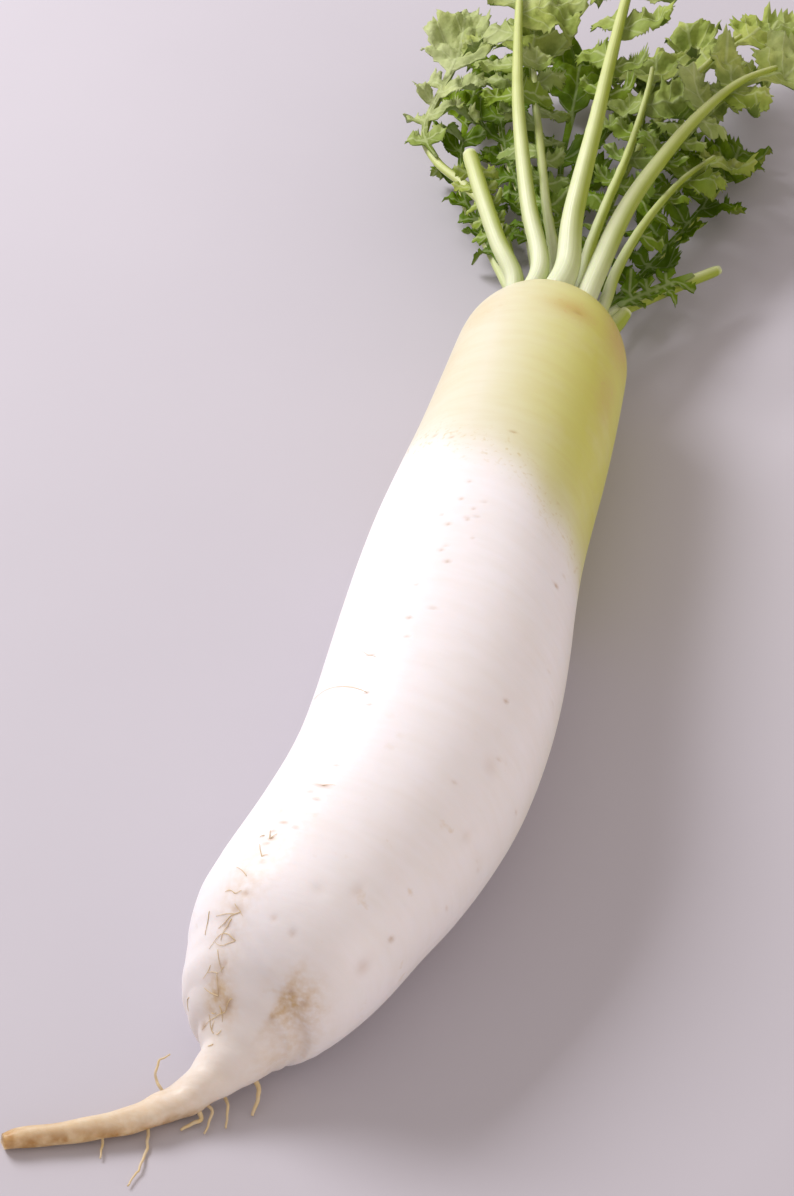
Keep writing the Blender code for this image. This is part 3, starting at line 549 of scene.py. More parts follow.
def crown_reach(distance):
    """How far the crown stands out along its axis, at a distance from its middle."""
    profile = [(CROWN_TIP, 0.0)] + [(a, r) for a, r in reversed(CROWN_PROFILE)]
    for (a0, r0), (a1, r1) in zip(profile, profile[1:]):
        if r0 <= distance <= r1:
            return a0 + (a1 - a0) * (distance - r0) / (r1 - r0)
    return profile[-1][0]


def crown_spot(angle, distance):
    """A point on the crown, angle in degrees from straight up towards +X."""
    turn = math.radians(angle)
    side = crown_axis().cross(Vector((0.0, 0.0, 1.0)))
    offset = side * (distance * math.sin(turn)) + Vector((0.0, 0.0, distance * math.cos(turn)))
    return crown_start() + offset + crown_axis() * (crown_reach(distance) + NODE_GAP)


def leaf_line(spec):
    """A leaf's centre line, from its place on the crown."""
    return Line([tuple(crown_spot(*spec["base"]))] + spec["line"], math.radians(spec["roll"]))


def stalk_radius(spec, share):
    """Radius of a stalk at a share of its length."""
    crown, low, start, end = spec["radii"]
    middle = max(spec["start"], LEAST_START)
    if share < FOOT_END:
        return crown + (low - crown) * (share / FOOT_END) ** FOOT_TAPER
    if share < middle:
        return low + (start - low) * (share - FOOT_END) / (middle - FOOT_END)
    return start + (end - start) * (share - middle) / (1.0 - middle)


# ---------------------------------------------------------------- root


def root_stations():
    """Rows of (x, y, centre height, radius, lump phase) along the root, tail first, as the solid has them."""
    rows = []
    for k, (x, y, radius) in enumerate(ROOT_LINE):
        if FLAT_FROM_Y <= y <= FLAT_TO_Y:
            height = radius - FLAT_DEPTH
        else:
            lift = TAIL_LIFT * max(0.0, THIN_ROOT - radius) if radius > TAIL_RADIUS else 0.0
            height = radius + BELLY_CLEARANCE + lift
        if k == len(ROOT_LINE) - 1:
            height = CROWN_CENTRE_Z
        rows.append((x, y, height, radius, float(k)))
    for k, (reach, radius) in enumerate(CROWN_PROFILE):
        spot = crown_start() + crown_axis() * reach
        rows.append((spot.x, spot.y, CROWN_CENTRE_Z, radius, 25.0 + k))
    return np.array(rows)


def smooth_rows(rows, spacing):
    """Rows on the smooth curve through the stations, evenly spaced."""
    first = 2.0 * rows[0] - rows[1]
    last = 2.0 * rows[-1] - rows[-2]
    padded = np.vstack([first, rows, last])
    dense = []
    for i in range(1, len(padded) - 2):
        p0, p1, p2, p3 = padded[i - 1:i + 3]
        u = np.linspace(0.0, 1.0, 60, endpoint=False)[:, None]
        dense.append(0.5 * (2.0 * p1 + (p2 - p0) * u + (2.0 * p0 - 5.0 * p1 + 4.0 * p2 - p3) * u * u
                            + (3.0 * p1 - p0 - 3.0 * p2 + p3) * u ** 3))
    dense = np.vstack(dense + [rows[-1:]])
    step = np.sqrt((np.diff(dense[:, [0, 1, 3]], axis=0) ** 2).sum(1))
    length = np.concatenate([[0.0], np.cumsum(step)])
    even = np.linspace(0.0, length[-1], int(length[-1] / spacing))
    return np.stack([np.interp(even, length, dense[:, c]) for c in range(dense.shape[1])], 1)


def bell(offset, width):
    """1 at no offset, fading out evenly either way."""
    return np.exp(-(offset / width) ** 2)


SKIN_SPACING = 0.71  # between the rows of the skin's grid
SKIN_COLUMNS = 144
CROWDING = 0.42  # how far the columns crowd towards the side root scars
CROWD_ANGLE = -12.0  # where they crowd, in degrees from the top
SMOOTH_FROM_PHASE = 26.5  # the crown has no lumps
SCAR_LIP = 0.14  # how far the skin swells round a scar
SCAR_LIP_WIDTH = 2.4
WRINKLE = 0.19  # cross wrinkles where the body narrows into the tail
WRINKLE_PITCHES = (3.4, 5.3)
WRINKLE_Y = -129.0
TAIL_FROM_Y = -134.0
TAIL_KNOB = 0.05  # uneven thickness of the tail, of its radius

# the wandering row of side root scars: places along the root, and its angle from the top there
COURSE_Y = [-136.0, -120.0, -90.0, -30.0, 0.0, 30.0, 60.0]
COURSE_ANGLE = [-24.0, -19.0, -18.0, -25.0, -11.0, -2.0, 4.0]
# the clearest scars: place along the root, angle from the top, half length round it, half width along it, strength
CLEAR_SCARS = [
    (97.0, 10.5, 1.5, 0.8, 0.50), (96.5, -36.0, 1.4, 1.1, 0.40), (92.0, -23.0, 1.3, 0.9, 0.45),
    (175.6, 26.0, 1.8, 0.9, 0.28), (66.0, -3.0, 0.8, 0.8, 0.35), (56.5, -4.5, 0.9, 0.9, 0.40),
    (52.0, 3.0, 0.8, 0.8, 0.35), (46.0, 1.5, 0.9, 0.9, 0.40), (48.0, -12.5, 0.8, 0.8, 0.30),
    (43.0, -7.5, 1.0, 0.9, 0.45), (29.5, -7.5, 1.0, 0.9, 0.40), (24.0, -3.0, 1.2, 1.0, 0.50),
    (-3.0, -13.5, 1.3, 1.0, 0.45), (-18.5, -27.0, 2.6, 0.6, 0.40), (-36.0, -21.0, 1.3, 0.9, 0.50),
    (-41.0, -16.5, 1.2, 0.7, 0.40), (-75.0, -15.0, 3.2, 0.8, 0.55), (-91.0, -21.0, 1.7, 0.8, 0.45),
    (-98.0, -21.0, 1.3, 0.9, 0.50), (37.0, 56.0, 1.3, 1.1, 0.75), (-20.0, 44.0, 1.0, 0.9, 0.55),
    (-98.0, 67.0, 1.1, 1.0, 0.50), (-117.0, 9.0, 1.1, 0.9, 0.24), (-117.0, 23.0, 1.3, 1.1, 0.26),
    (-125.0, 45.0, 1.2, 0.8, 0.60), (-124.0, 58.0, 1.0, 1.2, 0.55), (-131.0, 44.0, 1.1, 1.1, 0.28),
    (-119.0, -16.0, 2.6, 1.0, 0.35), (-124.0, -13.0, 1.6, 0.8, 0.40), (-128.0, -17.0, 1.8, 1.2, 0.24),
    (-133.0, -5.0, 1.6, 1.0, 0.50), (-131.5, -19.0, 1.2, 0.7, 0.45), (-136.5, -52.0, 2.2, 0.9, 0.60),
]
# faint wider spots: the same values
FAINT_SPOTS = [(-40.0, 51.5, 3.4, 3.2, 0.14), (-98.0, 35.0, 1.6, 2.4, 0.15), (-108.0, 67.0, 2.8, 3.0, 0.24),
               (-105.0, 20.0, 2.6, 1.8, 0.09), (-60.0, 62.0, 2.0, 2.6, 0.12)]
# seeded scars on the row: from and to along the root, how many, half length, strength
COURSE_SCARS = [(28.0, 60.0, 5, 0.9, 0.25), (-68.0, 20.0, 6, 1.5, 0.30), (-134.0, -72.0, 9, 1.4, 0.35)]
BACK_SCARS = 22  # on the second row, on the side away from the first
BACK_ANGLE = 162.0
FLANK_SCARS = 10  # scattered on the right flank
# patches of colour: place along the root, angle from the top, spread along it, spread round it, strength
TAN_PATCHES = [(176.5, 22.0, 5.0, 17.0, 0.75), (181.0, 64.0, 14.0, 17.0, 0.85), (145.0, 62.0, 15.0, 11.0, 0.45),
               (176.0, -48.0, 12.0, 22.0, 0.30), (152.0, -60.0, 30.0, 22.0, 0.22)]
SOIL_PATCHES = [(-130.0, 88.0, 8.0, 32.0, 0.30), (-112.0, -18.0, 26.0, 15.0, 0.22)]
# hairs lying on the skin: place along the root and angle from the top, at the foot and at the tip
HAIRS = [(-124, -10, -126, -32), (-124, -10, -125, -28), (-120, -17, -121, -32), (-119, -13, -123, -27),
         (-118, -19, -119, -13), (-116, -22, -116, -30), (-116, -22, -115, -18), (-120, -40, -124, -40),
         (-129, -21, -129, -32), (-128, -15, -129, -21), (-129, -22, -132, -19), (-132, -19, -131, -38),
         (-132, -2, -134, -9), (-134, -9, -137, -59), (-131, -68, -132, -80), (-137, -9, -138, -18),
         (-140, -16, -141, -28), (-98, -22, -95, -25), (-98, -22, -96, -19), (-105, -18, -101, -25),
         (-105, -18, -104, -15), (-36, -21, -26, -64), (-20, -24, -16, -33), (-75, -15, -74, -8)]


def scar_course(y):
    """Angle from the top, in degrees, of the row of side root scars."""
    return float(np.interp(y, COURSE_Y, COURSE_ANGLE))


def scar_places(draw):
    """Side root scars as (y, angle from the top, half length, half width, strength), in millimetres and degrees."""
    places = CLEAR_SCARS + FAINT_SPOTS
    for low, high, count, long, strength in COURSE_SCARS:
        for i in range(count):
            y = high - (high - low) * (i + draw.uniform(0.0, 0.9)) / count
            places.append((y, scar_course(y) + draw.uniform(-8.0, 8.0), long * draw.uniform(0.6, 1.4), 0.7, strength))
    for i in range(BACK_SCARS):
        y = draw.uniform(-125.0, 50.0)
        places.append((y, BACK_ANGLE + draw.uniform(-14.0, 14.0), draw.uniform(1.0, 2.6), 0.6, 0.50))
    for i in range(FLANK_SCARS):
        places.append((draw.uniform(-122.0, 50.0), draw.uniform(30.0, 100.0), draw.uniform(0.6, 1.1), 0.6, 0.30))
    return places


class RootSkin:
    """The fine root surface on a grid of rows along it and columns round it."""

    def __init__(self, look):
        self.rows = smooth_rows(root_stations(), SKIN_SPACING)
        even = np.linspace(-math.pi, math.pi, SKIN_COLUMNS, endpoint=False)
        self.turn = even - CROWDING * np.sin(even) + math.radians(CROWD_ANGLE)
        self.first = math.degrees(self.turn[0])
        turn = self.turn[None, :]
        y = self.rows[:, 1][:, None]
        phase = self.rows[:, 4][:, None]
        radius = self.rows[:, 3][:, None] * np.ones(SKIN_COLUMNS)
        lump = np.sin(3.0 * turn + phase * 0.9) + np.sin(2.0 * turn - phase * 0.55)
        fade = np.clip((SMOOTH_FROM_PHASE - phase) / 1.5, 0.0, 1.0)
        radius = radius + UNEVEN * 0.5 * lump * np.minimum(1.0, radius / FULL_LUMP_RADIUS) * fade
        self.y = np.broadcast_to(y, radius.shape)
        self.degrees = np.broadcast_to(np.degrees(turn), radius.shape)
        self.scar = np.zeros_like(radius)
        for at, angle, half, deep, strength in scar_places(random.Random(5)):
            gap = (self.degrees - angle + 180.0) % 360.0 - 180.0
            across = np.radians(gap) * radius
            pit = bell(y - at, deep) * bell(across, half)
            lip = bell(y - at, SCAR_LIP_WIDTH) * bell(across, half * 1.6)
            radius = radius - look.pore_depth / MM * pit + SCAR_LIP * lip
            stain = strength * bell(y - at, deep * 0.8) * bell(across, half * 0.8)
            self.scar = np.maximum(self.scar, stain)
        bend = y + 2.5 * np.sin(turn * 1.5 + 0.6) + 1.2 * np.sin(turn * 4.0)
        near, far = WRINKLE_PITCHES
        wave = np.sin(bend * 2.0 * math.pi / near) + 0.7 * np.sin(bend * 2.0 * math.pi / far + 1.0)
        pinch = bell(y - WRINKLE_Y, 11.0) * (0.4 + 0.6 * bell(self.degrees + 15.0, 55.0))
        radius = radius + WRINKLE * wave * pinch
        tail = np.clip((TAIL_FROM_Y - y) / 8.0, 0.0, 1.0)
        knobs = np.sin(turn * 3.0 + y * 0.21) + 0.8 * np.sin(y * 0.55 + turn) + 0.6 * np.sin(y * 0.93 - turn * 2.0)
        radius = radius * (1.0 + tail * TAIL_KNOB * knobs)
        middle = self.rows[:, :3]
        ahead = np.gradient(middle[:, :2], axis=0)
        ahead /= np.linalg.norm(ahead, axis=1)[:, None]
        side = np.stack([ahead[:, 1], -ahead[:, 0], np.zeros(len(ahead))], 1)
        self.points = middle[:, None, :] + side[:, None, :] * (radius * np.sin(turn))[:, :, None]
        self.points[:, :, 2] += radius * np.cos(turn)
        self.points[:, :, 2] = np.maximum(self.points[:, :, 2], 0.0)

    def patch(self, at, angle, along, round_way, strength):
        """A soft patch on the skin: its place, its spread along the root and round it, and its strength."""
        return strength * bell(self.y - at, along) * bell(self.degrees - angle, round_way)

    def masks(self, look):
        """How far each colour of the skin shows at each point, in the order of SKIN_MASKS."""
        y = self.y
        across = self.points[:, :, 0] - self.rows[:, 0][:, None]
        turn = np.radians(self.degrees)
        # the green starts at a ragged border that slants down to the right
        wobble = 3.0 * np.sin(turn * 3.0 + 0.8) + 1.5 * np.sin(turn * 7.0) + 1.0 * np.sin(turn * 13.0 + 2.0)
        above = y - (look.neck_from / MM - 0.62 * across + wobble)
        neck = 1.0 / (1.0 + np.exp(-above / 5.0))
        # the neck's own green, with painted shade in it: it deepens towards the right side, away from the light
        green = np.clip(0.20 + across / 38.0 + above / 420.0, 0.0, 1.0) * (1.0 - 0.35 * bell(above, 26.0))
        edge = 0.5 * bell(above - 1.0, 9.0)
        # the right side, away from the light, keeps a yellow cast for some way below the neck: partly its own colour,
        # partly painted shade
        neck = np.maximum(neck, 0.32 * np.clip((y + 70.0) / 90.0, 0.0, 1.0) * bell(self.degrees - 108.0, 22.0))
        crown = 0.8 * bell(y - 203.0, 9.0) * np.clip(0.30 + across / 40.0, 0.0, 1.0)
        for values in TAN_PATCHES:
            crown = np.maximum(crown, self.patch(*values))
        tail = np.clip((-122.0 - y) / 48.0, 0.0, 1.0)
        flecked = np.clip((-25.0 - y) / 50.0, 0.0, 1.0) * (1.0 - tail)
        flecked = flecked * (0.20 + 0.35 * bell(self.degrees - 70.0, 32.0))
        # the tail is darker and browner low down towards its end, and at its broken tip
        low = np.clip((7.0 - self.points[:, :, 2]) / 3.0, 0.0, 1.0)
        tail_darkening = np.clip((-148.0 - y) / 14.0, 0.0, 1.0) * (0.12 + 0.88 * low) + bell(y + 182.0, 3.0)
        tail_darkening = np.clip(tail_darkening + 0.5 * bell(y + 147.0, 7.0) * low, 0.0, 1.0)
        # a ragged stain on the right of where the body narrows, and soil in its wrinkles and on the tail
        ragged = 1.2 * np.sin(turn * 9.0) + 0.8 * np.sin(turn * 17.0 + 1.0)
        soil = 0.85 * bell(y + 125.5 + ragged, 4.2) ** 0.7 * bell(self.degrees - 49.0 + 4.0 * ragged, 15.0)
        soil = soil + 0.6 * bell(y + 133.5 + 1.5 * np.sin(turn * 5.0), 2.6) * bell(self.degrees + 18.0, 20.0)
        soil = soil + np.clip((-140.0 - y) / 20.0, 0.0, 1.0) * 0.30
        for values in SOIL_PATCHES:
            soil = soil + self.patch(*values)
        soil = np.clip(soil, 0.0, 1.0)
        shown = (neck, green, crown, edge, tail, soil, self.scar, flecked, tail_darkening)
        return {key: values.ravel() for key, values in zip(SKIN_MASKS, shown)}

    def surface(self, y, angle):
        """Point and outward direction at a place on the skin."""
        row = float(np.interp(y, self.rows[:, 1], np.arange(len(self.rows))))
        column = float(np.interp((angle - self.first + 360.0) % 360.0, (np.degrees(self.turn) - self.first) % 360.0,
                                 np.arange(len(self.turn))))
        i = min(int(row), len(self.rows) - 2)
        j = int(column)
        k = (j + 1) % len(self.turn)
        near = self.points[i, j] * (1.0 - column % 1.0) + self.points[i, k] * (column % 1.0)
        far = self.points[i + 1, j] * (1.0 - column % 1.0) + self.points[i + 1, k] * (column % 1.0)
        spot = Vector(near * (1.0 - row % 1.0) + far * (row % 1.0))
        return spot, (spot - Vector(self.rows[i, :3])).normalized()


def tube(points, radii, sides, first):
    """Corners and faces of a closed tube through the points; faces count from first."""
    corners = []
    for k, centre in enumerate(points):
        ahead = (points[min(k + 1, len(points) - 1)] - points[max(k - 1, 0)]).normalized()
        side = ahead.cross(Vector((0.31, 0.12, 0.94))).normalized()
        up = side.cross(ahead)
        for i in range(sides):
            turn = 2.0 * math.pi * i / sides
            corners.append(centre + side * (radii[k] * math.sin(turn)) + up * (radii[k] * math.cos(turn)))
    return corners, ring_faces(len(points), sides, first)


def ring_walls(rings, sides, first=0):
    """Faces between rings of corners, one ring after another."""
    faces = []
    for k in range(rings - 1):
        for i in range(sides):
            j = (i + 1) % sides
            a = first + k * sides
            faces.append((a + i, a + sides + i, a + sides + j, a + j))
    return faces


def ring_faces(rings, sides, first=0):
    """The same, closed at both ends."""
    start = tuple(first + i for i in range(sides))
    end = tuple(first + (rings - 1) * sides + i for i in range(sides - 1, -1, -1))
    return ring_walls(rings, sides, first) + [start, end]


ROOTLET_RINGS = 26
ROOTLET_WANDER = 0.8  # how far a rootlet strays from its line
HAIR_RINGS = 12
HAIR_LIFT = 0.25  # how far the middle of a hair stands off the skin


class RADISH_OT_root(bpy.types.Operator):
    """Builds the fine root with its scars, neck and tail over the plain one."""

    bl_idname = "radish.root"
    bl_label = "Root"

    def execute(self, context):
        look = context.scene.radish_skin
        skin = RootSkin(look)
        rows, columns = skin.points.shape[:2]
        points = [tuple(p) for p in skin.points.reshape(-1, 3)]
        faces = ring_walls(rows, columns)
        masks = skin.masks(look)
        # the broken tip of the tail, and the middle of the crown
        for row, centre in ((0, skin.rows[0, :3] + np.array((-0.6, -0.3, 0.0))),
                            (rows - 1, np.array(crown_start() + crown_axis() * CROWN_TIP))):
            tip = len(points)
            points.append(tuple(centre))
            for i in range(columns):
                j = (i + 1) % columns
                a = row * columns
                faces.append((a + j, tip, a + i) if row else (a + i, tip, a + j))
            for key in masks:
                masks[key] = np.append(masks[key], masks[key][row * columns])
        root = make_object("root_fine", points, faces, [washed_skin(look)], masks=masks)
        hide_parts("root")
        return {"FINISHED"}


class RADISH_OT_rootlets(bpy.types.Operator):
    """Adds the rootlets on the tail and the fine side roots left in the skin's scars."""

    bl_idname = "radish.rootlets"
    bl_label = "Rootlets"

    def execute(self, context):
        look = context.scene.radish_skin
        corners = []
        faces = []
        for line, radius in ROOTLETS:
            path = Line(line)
            places = []
            radii = []
            for i in range(ROOTLET_RINGS):
                p = path.place(path.length * i / (ROOTLET_RINGS - 1))
                stray = [noise.noise(p * 0.35 + Vector((0.0, 0.0, 31.7 * (axis + 1)))) for axis in range(3)]
                p = p + Vector(stray) * ROOTLET_WANDER * min(1.0, i / 6.0)
                p.z = max(p.z, 0.5)
                places.append(p)
                radii.append(radius * 0.95 * (1.0 - 0.55 * i / (ROOTLET_RINGS - 1)))
            more, shell = tube(places, radii, 8, len(corners))
            corners += more
            faces += shell
        draw = random.Random(9)
        skin = RootSkin(look)
        hairs = list(HAIRS)
        while len(hairs) < look.hair_count:
            y = -138.0 + 52.0 * draw.random() ** 1.9
            angle = scar_course(y) + draw.uniform(-9.0, 9.0)
            hairs.append((y, angle, y + draw.uniform(-4.0, 4.0), angle + draw.uniform(-14.0, 10.0)))
        for y0, angle0, y1, angle1 in hairs:
            bend = draw.uniform(-0.12, 0.12)
            places = []
            for k in range(HAIR_RINGS):
                share = k / (HAIR_RINGS - 1)
                bow = bend * math.sin(math.pi * share)
                y = y0 + (y1 - y0) * share + (angle1 - angle0) * 0.5 * bow
                spot, out = skin.surface(y, angle0 + (angle1 - angle0) * share - (y1 - y0) * 1.5 * bow)
                places.append(spot + out * (0.04 + HAIR_LIFT * math.sin(share * 2.8)))
            thick = draw.uniform(0.12, 0.20) if y0 < -90.0 else 0.10
            radii = [thick * (1.0 - 0.6 * k / (HAIR_RINGS - 1)) for k in range(HAIR_RINGS)]
            more, shell = tube(places, radii, 5, len(corners))
            corners += more
            faces += shell
        make_object("rootlets_fine", corners, faces, [dry_rootlet(look)])
        return {"FINISHED"}


# ---------------------------------------------------------------- stalks


def seated(point):
    """Moves a corner of a stalk's foot along the crown's axis, to just clear of the crown."""
    offset = point - crown_start()
    along = offset.dot(crown_axis())
    distance = (offset - crown_axis() * along).length
    return point + crown_axis() * (crown_reach(distance) + NODE_GAP - along)


class RADISH_OT_stalks(bpy.types.Operator):
    """Builds each stalk finely, with its ribs and swollen foot."""

    bl_idname = "radish.stalks"
    bl_label = "Stalks"

    def execute(self, context):
        look = context.scene.radish_leaf
        fresh = fresh_stalk(look)
        for name, spec in LEAVES.items():
            fine_stalk(name + "_stalk", spec, STALK_END, fresh)
        for name, spec in CUT_LEAVES.items():
            fine_stalk(name + "_stalk", spec, 1.0, fresh)
        fine_stalk("cut_leaf_base", LEAF_BASE, 1.0, fresh)
        return {"FINISHED"}


STALK_SIDES = 24
STALK_RIBS = 5
RIB_HEIGHT = 0.014  # of the stalk's radius, as are the knobs
KNOB = 0.04
STUB_KNOB = 0.13  # on stalks bared low down, where leaflets came off
CUT_NARROWING = 0.86  # a cut end dries a little narrower


def fine_stalk(name, spec, tip_share, fresh):
    """One stalk as a tube with ribs and knobs, seated on the crown. It ends cut, or runs out under its blade."""
    line = leaf_line(spec)
    rows = max(14, int(line.length * tip_share / 2.0))
    draw = random.Random(name)
    lean = draw.uniform(0.0, 6.28)
    cut_end = tip_share == 1.0
    greening = 0.5 if cut_end else 1.0  # a cut stalk is only the paler lower part of a leaf's stalk
    knobbly = STUB_KNOB if spec["start"] < 0.3 else KNOB
    points = []
    uv = []
    for k in range(rows + 1):
        share = tip_share * k / rows
        centre, _, side, up = line.frame(line.length * share)
        base = stalk_radius(spec, share)
        knob = knobbly * max(0.0, math.sin(line.length * share * 0.62 + lean)) ** 2 * (share > spec["start"] * 0.8)
        for i in range(STALK_SIDES):
            turn = 2.0 * math.pi * (i + 0.5) / STALK_SIDES
            rib = RIB_HEIGHT * math.sin(STALK_RIBS * turn + lean + share * 1.2)
            radius = base * (0.975 + rib + knob * (0.6 + 0.4 * math.sin(turn * 2.0 + k)))
            if cut_end and k == rows:
                radius *= CUT_NARROWING
            offset = side * (radius * math.sin(turn)) + up * (radius * math.cos(turn))
            points.append(seated(offset + centre) if k == 0 else centre + offset)
            uv.append((i / STALK_SIDES, share * greening))
    faces = ring_faces(rows + 1, STALK_SIDES)
    cut = [1.0 if cut_end and i >= rows * STALK_SIDES else 0.0 for i in range(len(points))]
    obj = make_object(name + "_fine", points, faces, [fresh], uv=uv, masks={"cut": cut})
    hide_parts(name)


# ---------------------------------------------------------------- blades


class Lobe:
    """One lobe or leaflet: its place along the rib, side, size, edge and the way it is bent."""

    def __init__(self, u, hand, root, length, width, edge, sweep, draw, fold):
        self.u = u
        self.hand = hand
        self.root = root
        self.length = length
        self.width = width
        self.edge = edge
        self.along = Vector((math.cos(sweep), hand * math.sin(sweep)))
        self.across = Vector((hand * self.along.y, -hand * self.along.x))
        self.foot = Vector((1.0 / math.sin(sweep), 0.0)) if sweep > 0.0 else self.across
        calm = 1.0 if sweep > 0.0 else TIP_CALM
        rise = draw.choice((-1.0, 1.0)) * draw.uniform(0.25, 1.0) * FOLD * calm
        self.rise = max(-fold / length, min(fold / length, rise))
        self.twist = draw.uniform(-1.0, 1.0) * TWIST * calm
        self.phase = draw.uniform(0.0, 6.28)

    def flat(self, a, b):
        """From the lobe's own axes to the leaf's (u, v)."""
        across = self.foot.lerp(self.across, min(1.0, a / (FOOT_SHARE * self.length)))
        spot = Vector((self.u, self.hand * self.root)) + self.along * a + across * b
        return spot.x, spot.y

    def height(self, a, b):
        """How far the blade stands off its plane there."""
        share = min(max(a / self.length, 0.0), 1.0)
        ripple = RIPPLE * math.sin(self.phase + (a + 0.6 * b) * 2.0 * math.pi / RIPPLE_WAVE)
        ripple *= min(1.0, self.length / RIPPLE_FULL_LENGTH) * min(1.0, 2.0 * share) ** 2
        return self.rise * a * (0.35 + 0.65 * share) + self.twist * b * share + ripple

    def rim(self):
        """Corners of its edge, from the side nearest the crown round to the other."""
        near = [(a * self.length, -w * self.width) for a, w in self.edge]
        far = [(a * self.length, w * self.width) for a, w in reversed(self.edge)]
        return near + [(self.length, 0.0)] + far


def make_lobes(spec, line):
    """Lobes of a leaf in pairs, larger towards the tip, then the tip lobe."""
    draw = random.Random(spec["seed"])
    first = spec["start"] * line.length
    tip = spec["tip"]
    last = line.length - tip[0] * 0.45 if tip else spec["stop"] * line.length
    sides = {}
    for hand in (1, -1):
        lobes = []
        u = first + draw.uniform(0.0, 3.0)
        while True:
            share = min(1.0, (u - first) / (last - first))
            length = spec["lobes"][0] + (spec["lobes"][1] - spec["lobes"][0]) * share
            length *= draw.uniform(*LENGTH_SPREAD)
            width = max(LEAST_WIDTH, length * draw.uniform(*WIDTH_SPREAD))
            length *= 1.0 + hand * spec["lean"]
            sweep = LOBE_SWEEP * draw.uniform(*SWEEP_SPREAD)
            edge = SMALL_LOBE if length < SMALL_LOBE_LENGTH else OPEN_LOBE
            half = width * LOBE_PITCH / math.sin(sweep)
            if u + 2.0 * half > last:
                break
            root = strip_half(spec, line, u + half)
            lobes.append(Lobe(u + half, hand, root, length, width, edge, sweep, draw, spec["fold"]))
            u += 2.0 * half
        sides[hand] = lobes
    end = None
    if tip:
        end = Lobe(last, 1, 0.0, tip[0], tip[1], TIP_EDGE, 0.0, draw, spec["fold"])
    return sides, end


def strip_half(spec, line, u):
    """Half width of the strip of blade under the rib there."""
    return max(STRIP_LEAST, STRIP_SHARE * stalk_radius(spec, u / line.length))


# painted shade: leaves lying low, in the middle of the bunch and on its right are painted a deeper green, those on top
# less
PAINTED_SHADE = {"leaf_3": 0.6, "leaf_5": 0.5, "leaf_7": 0.5, "leaf_8": 0.2, "leaf_9": 0.6, "leaf_10": 0.5,
              "leaf_11": 0.6, "leaf_12": 0.1, "leaf_1": -0.2, "leaf_2": -0.1, "leaf_4": -0.1}
# painted sheen: pale sage laid on the leaves that face the light, most on the upper left, and how much of it shows
SHEEN_SHARE = {"leaf_1": 0.95, "leaf_2": 0.75, "leaf_4": 0.40, "leaf_6": 0.40, "leaf_3": 0.35, "leaf_12": 0.25,
         "leaf_5": 0.20}
# painted sheen too: this leaf faces the light, so its upper face takes the paler underside colour
PALE_ABOVE = {"leaf_1_blade"}  # as pale above as its underside
TOOTH_IN = 1.1  # the teeth of the edge, in and out
TOOTH_OUT = 0.5
VEIN_PITCH = 7.0  # between side veins along the main one
VEIN_SWEEP = 0.75  # how far they run forwards, of how far they run out
VEIN_WANDER = 2.2
# how far a soft blade stands up or down
FOLD_HEIGHT = 9.0
BLISTER_HEIGHT = 6.0
FINE_HEIGHT = 2.4
PUCKER_HEIGHT = 2.1  # between the side veins
RUFFLE_HEIGHT = 3.8  # along the edge
SIDE_ROLL = 6.5  # of one margin
TIP_ROLL = 4.5


def fine_edge(lobe, draw):
    """The lobe's edge as a smooth curve through the solid's corners, with small teeth."""
    corners = [Vector((a, b, 0.0)) for a, b in lobe.rim()]
    last = len(corners) - 1
    steps = 4 if lobe.length > SMALL_LOBE_LENGTH else 3
    edge = []
    for i in range(last * steps + 1):
        spot = curve_point(corners, i / steps)
        inside = min(i, last * steps - i) / steps
        if 0.9 < inside:
            push = (spot - Vector((lobe.length * 0.45, 0.0, 0.0))).normalized()
            tooth = TOOTH_OUT if i % 2 else -TOOTH_IN
            spot = spot + push * tooth * draw.uniform(0.3, 1.2) * min(1.0, lobe.length / 14.0)
        edge.append((max(spot.x, 0.0), spot.y))
    return edge


def half_width(lobe, a):
    """Half the lobe's width there."""
    shares = [s for s, _ in lobe.edge] + [1.0]
    widths = [w for _, w in lobe.edge] + [0.0]
    return float(np.interp(a / lobe.length, shares, widths)) * lobe.width


def fill_points(lobe, grain):
    """Points inside a lobe, on a staggered grid that follows its middle vein."""
    spots = []
    a = grain * 0.6
    odd = False
    while a < lobe.length - grain * 0.7:
        reach = half_width(lobe, a) - grain * 0.75
        b = grain * 0.5 if odd else 0.0
        while b < reach:
            spots.append((a, b))
            if b > 0.0:
                spots.append((a, -b))
            b += grain
        a += grain * 0.86
        odd = not odd
    return spots


def vein_course(lobe, a, b):
    """Place along the main vein that a place in the lobe is counted from, so the side veins wander."""
    return a + VEIN_WANDER * noise.noise(Vector((a * 0.12, b * 0.12, lobe.phase * 5.0)))


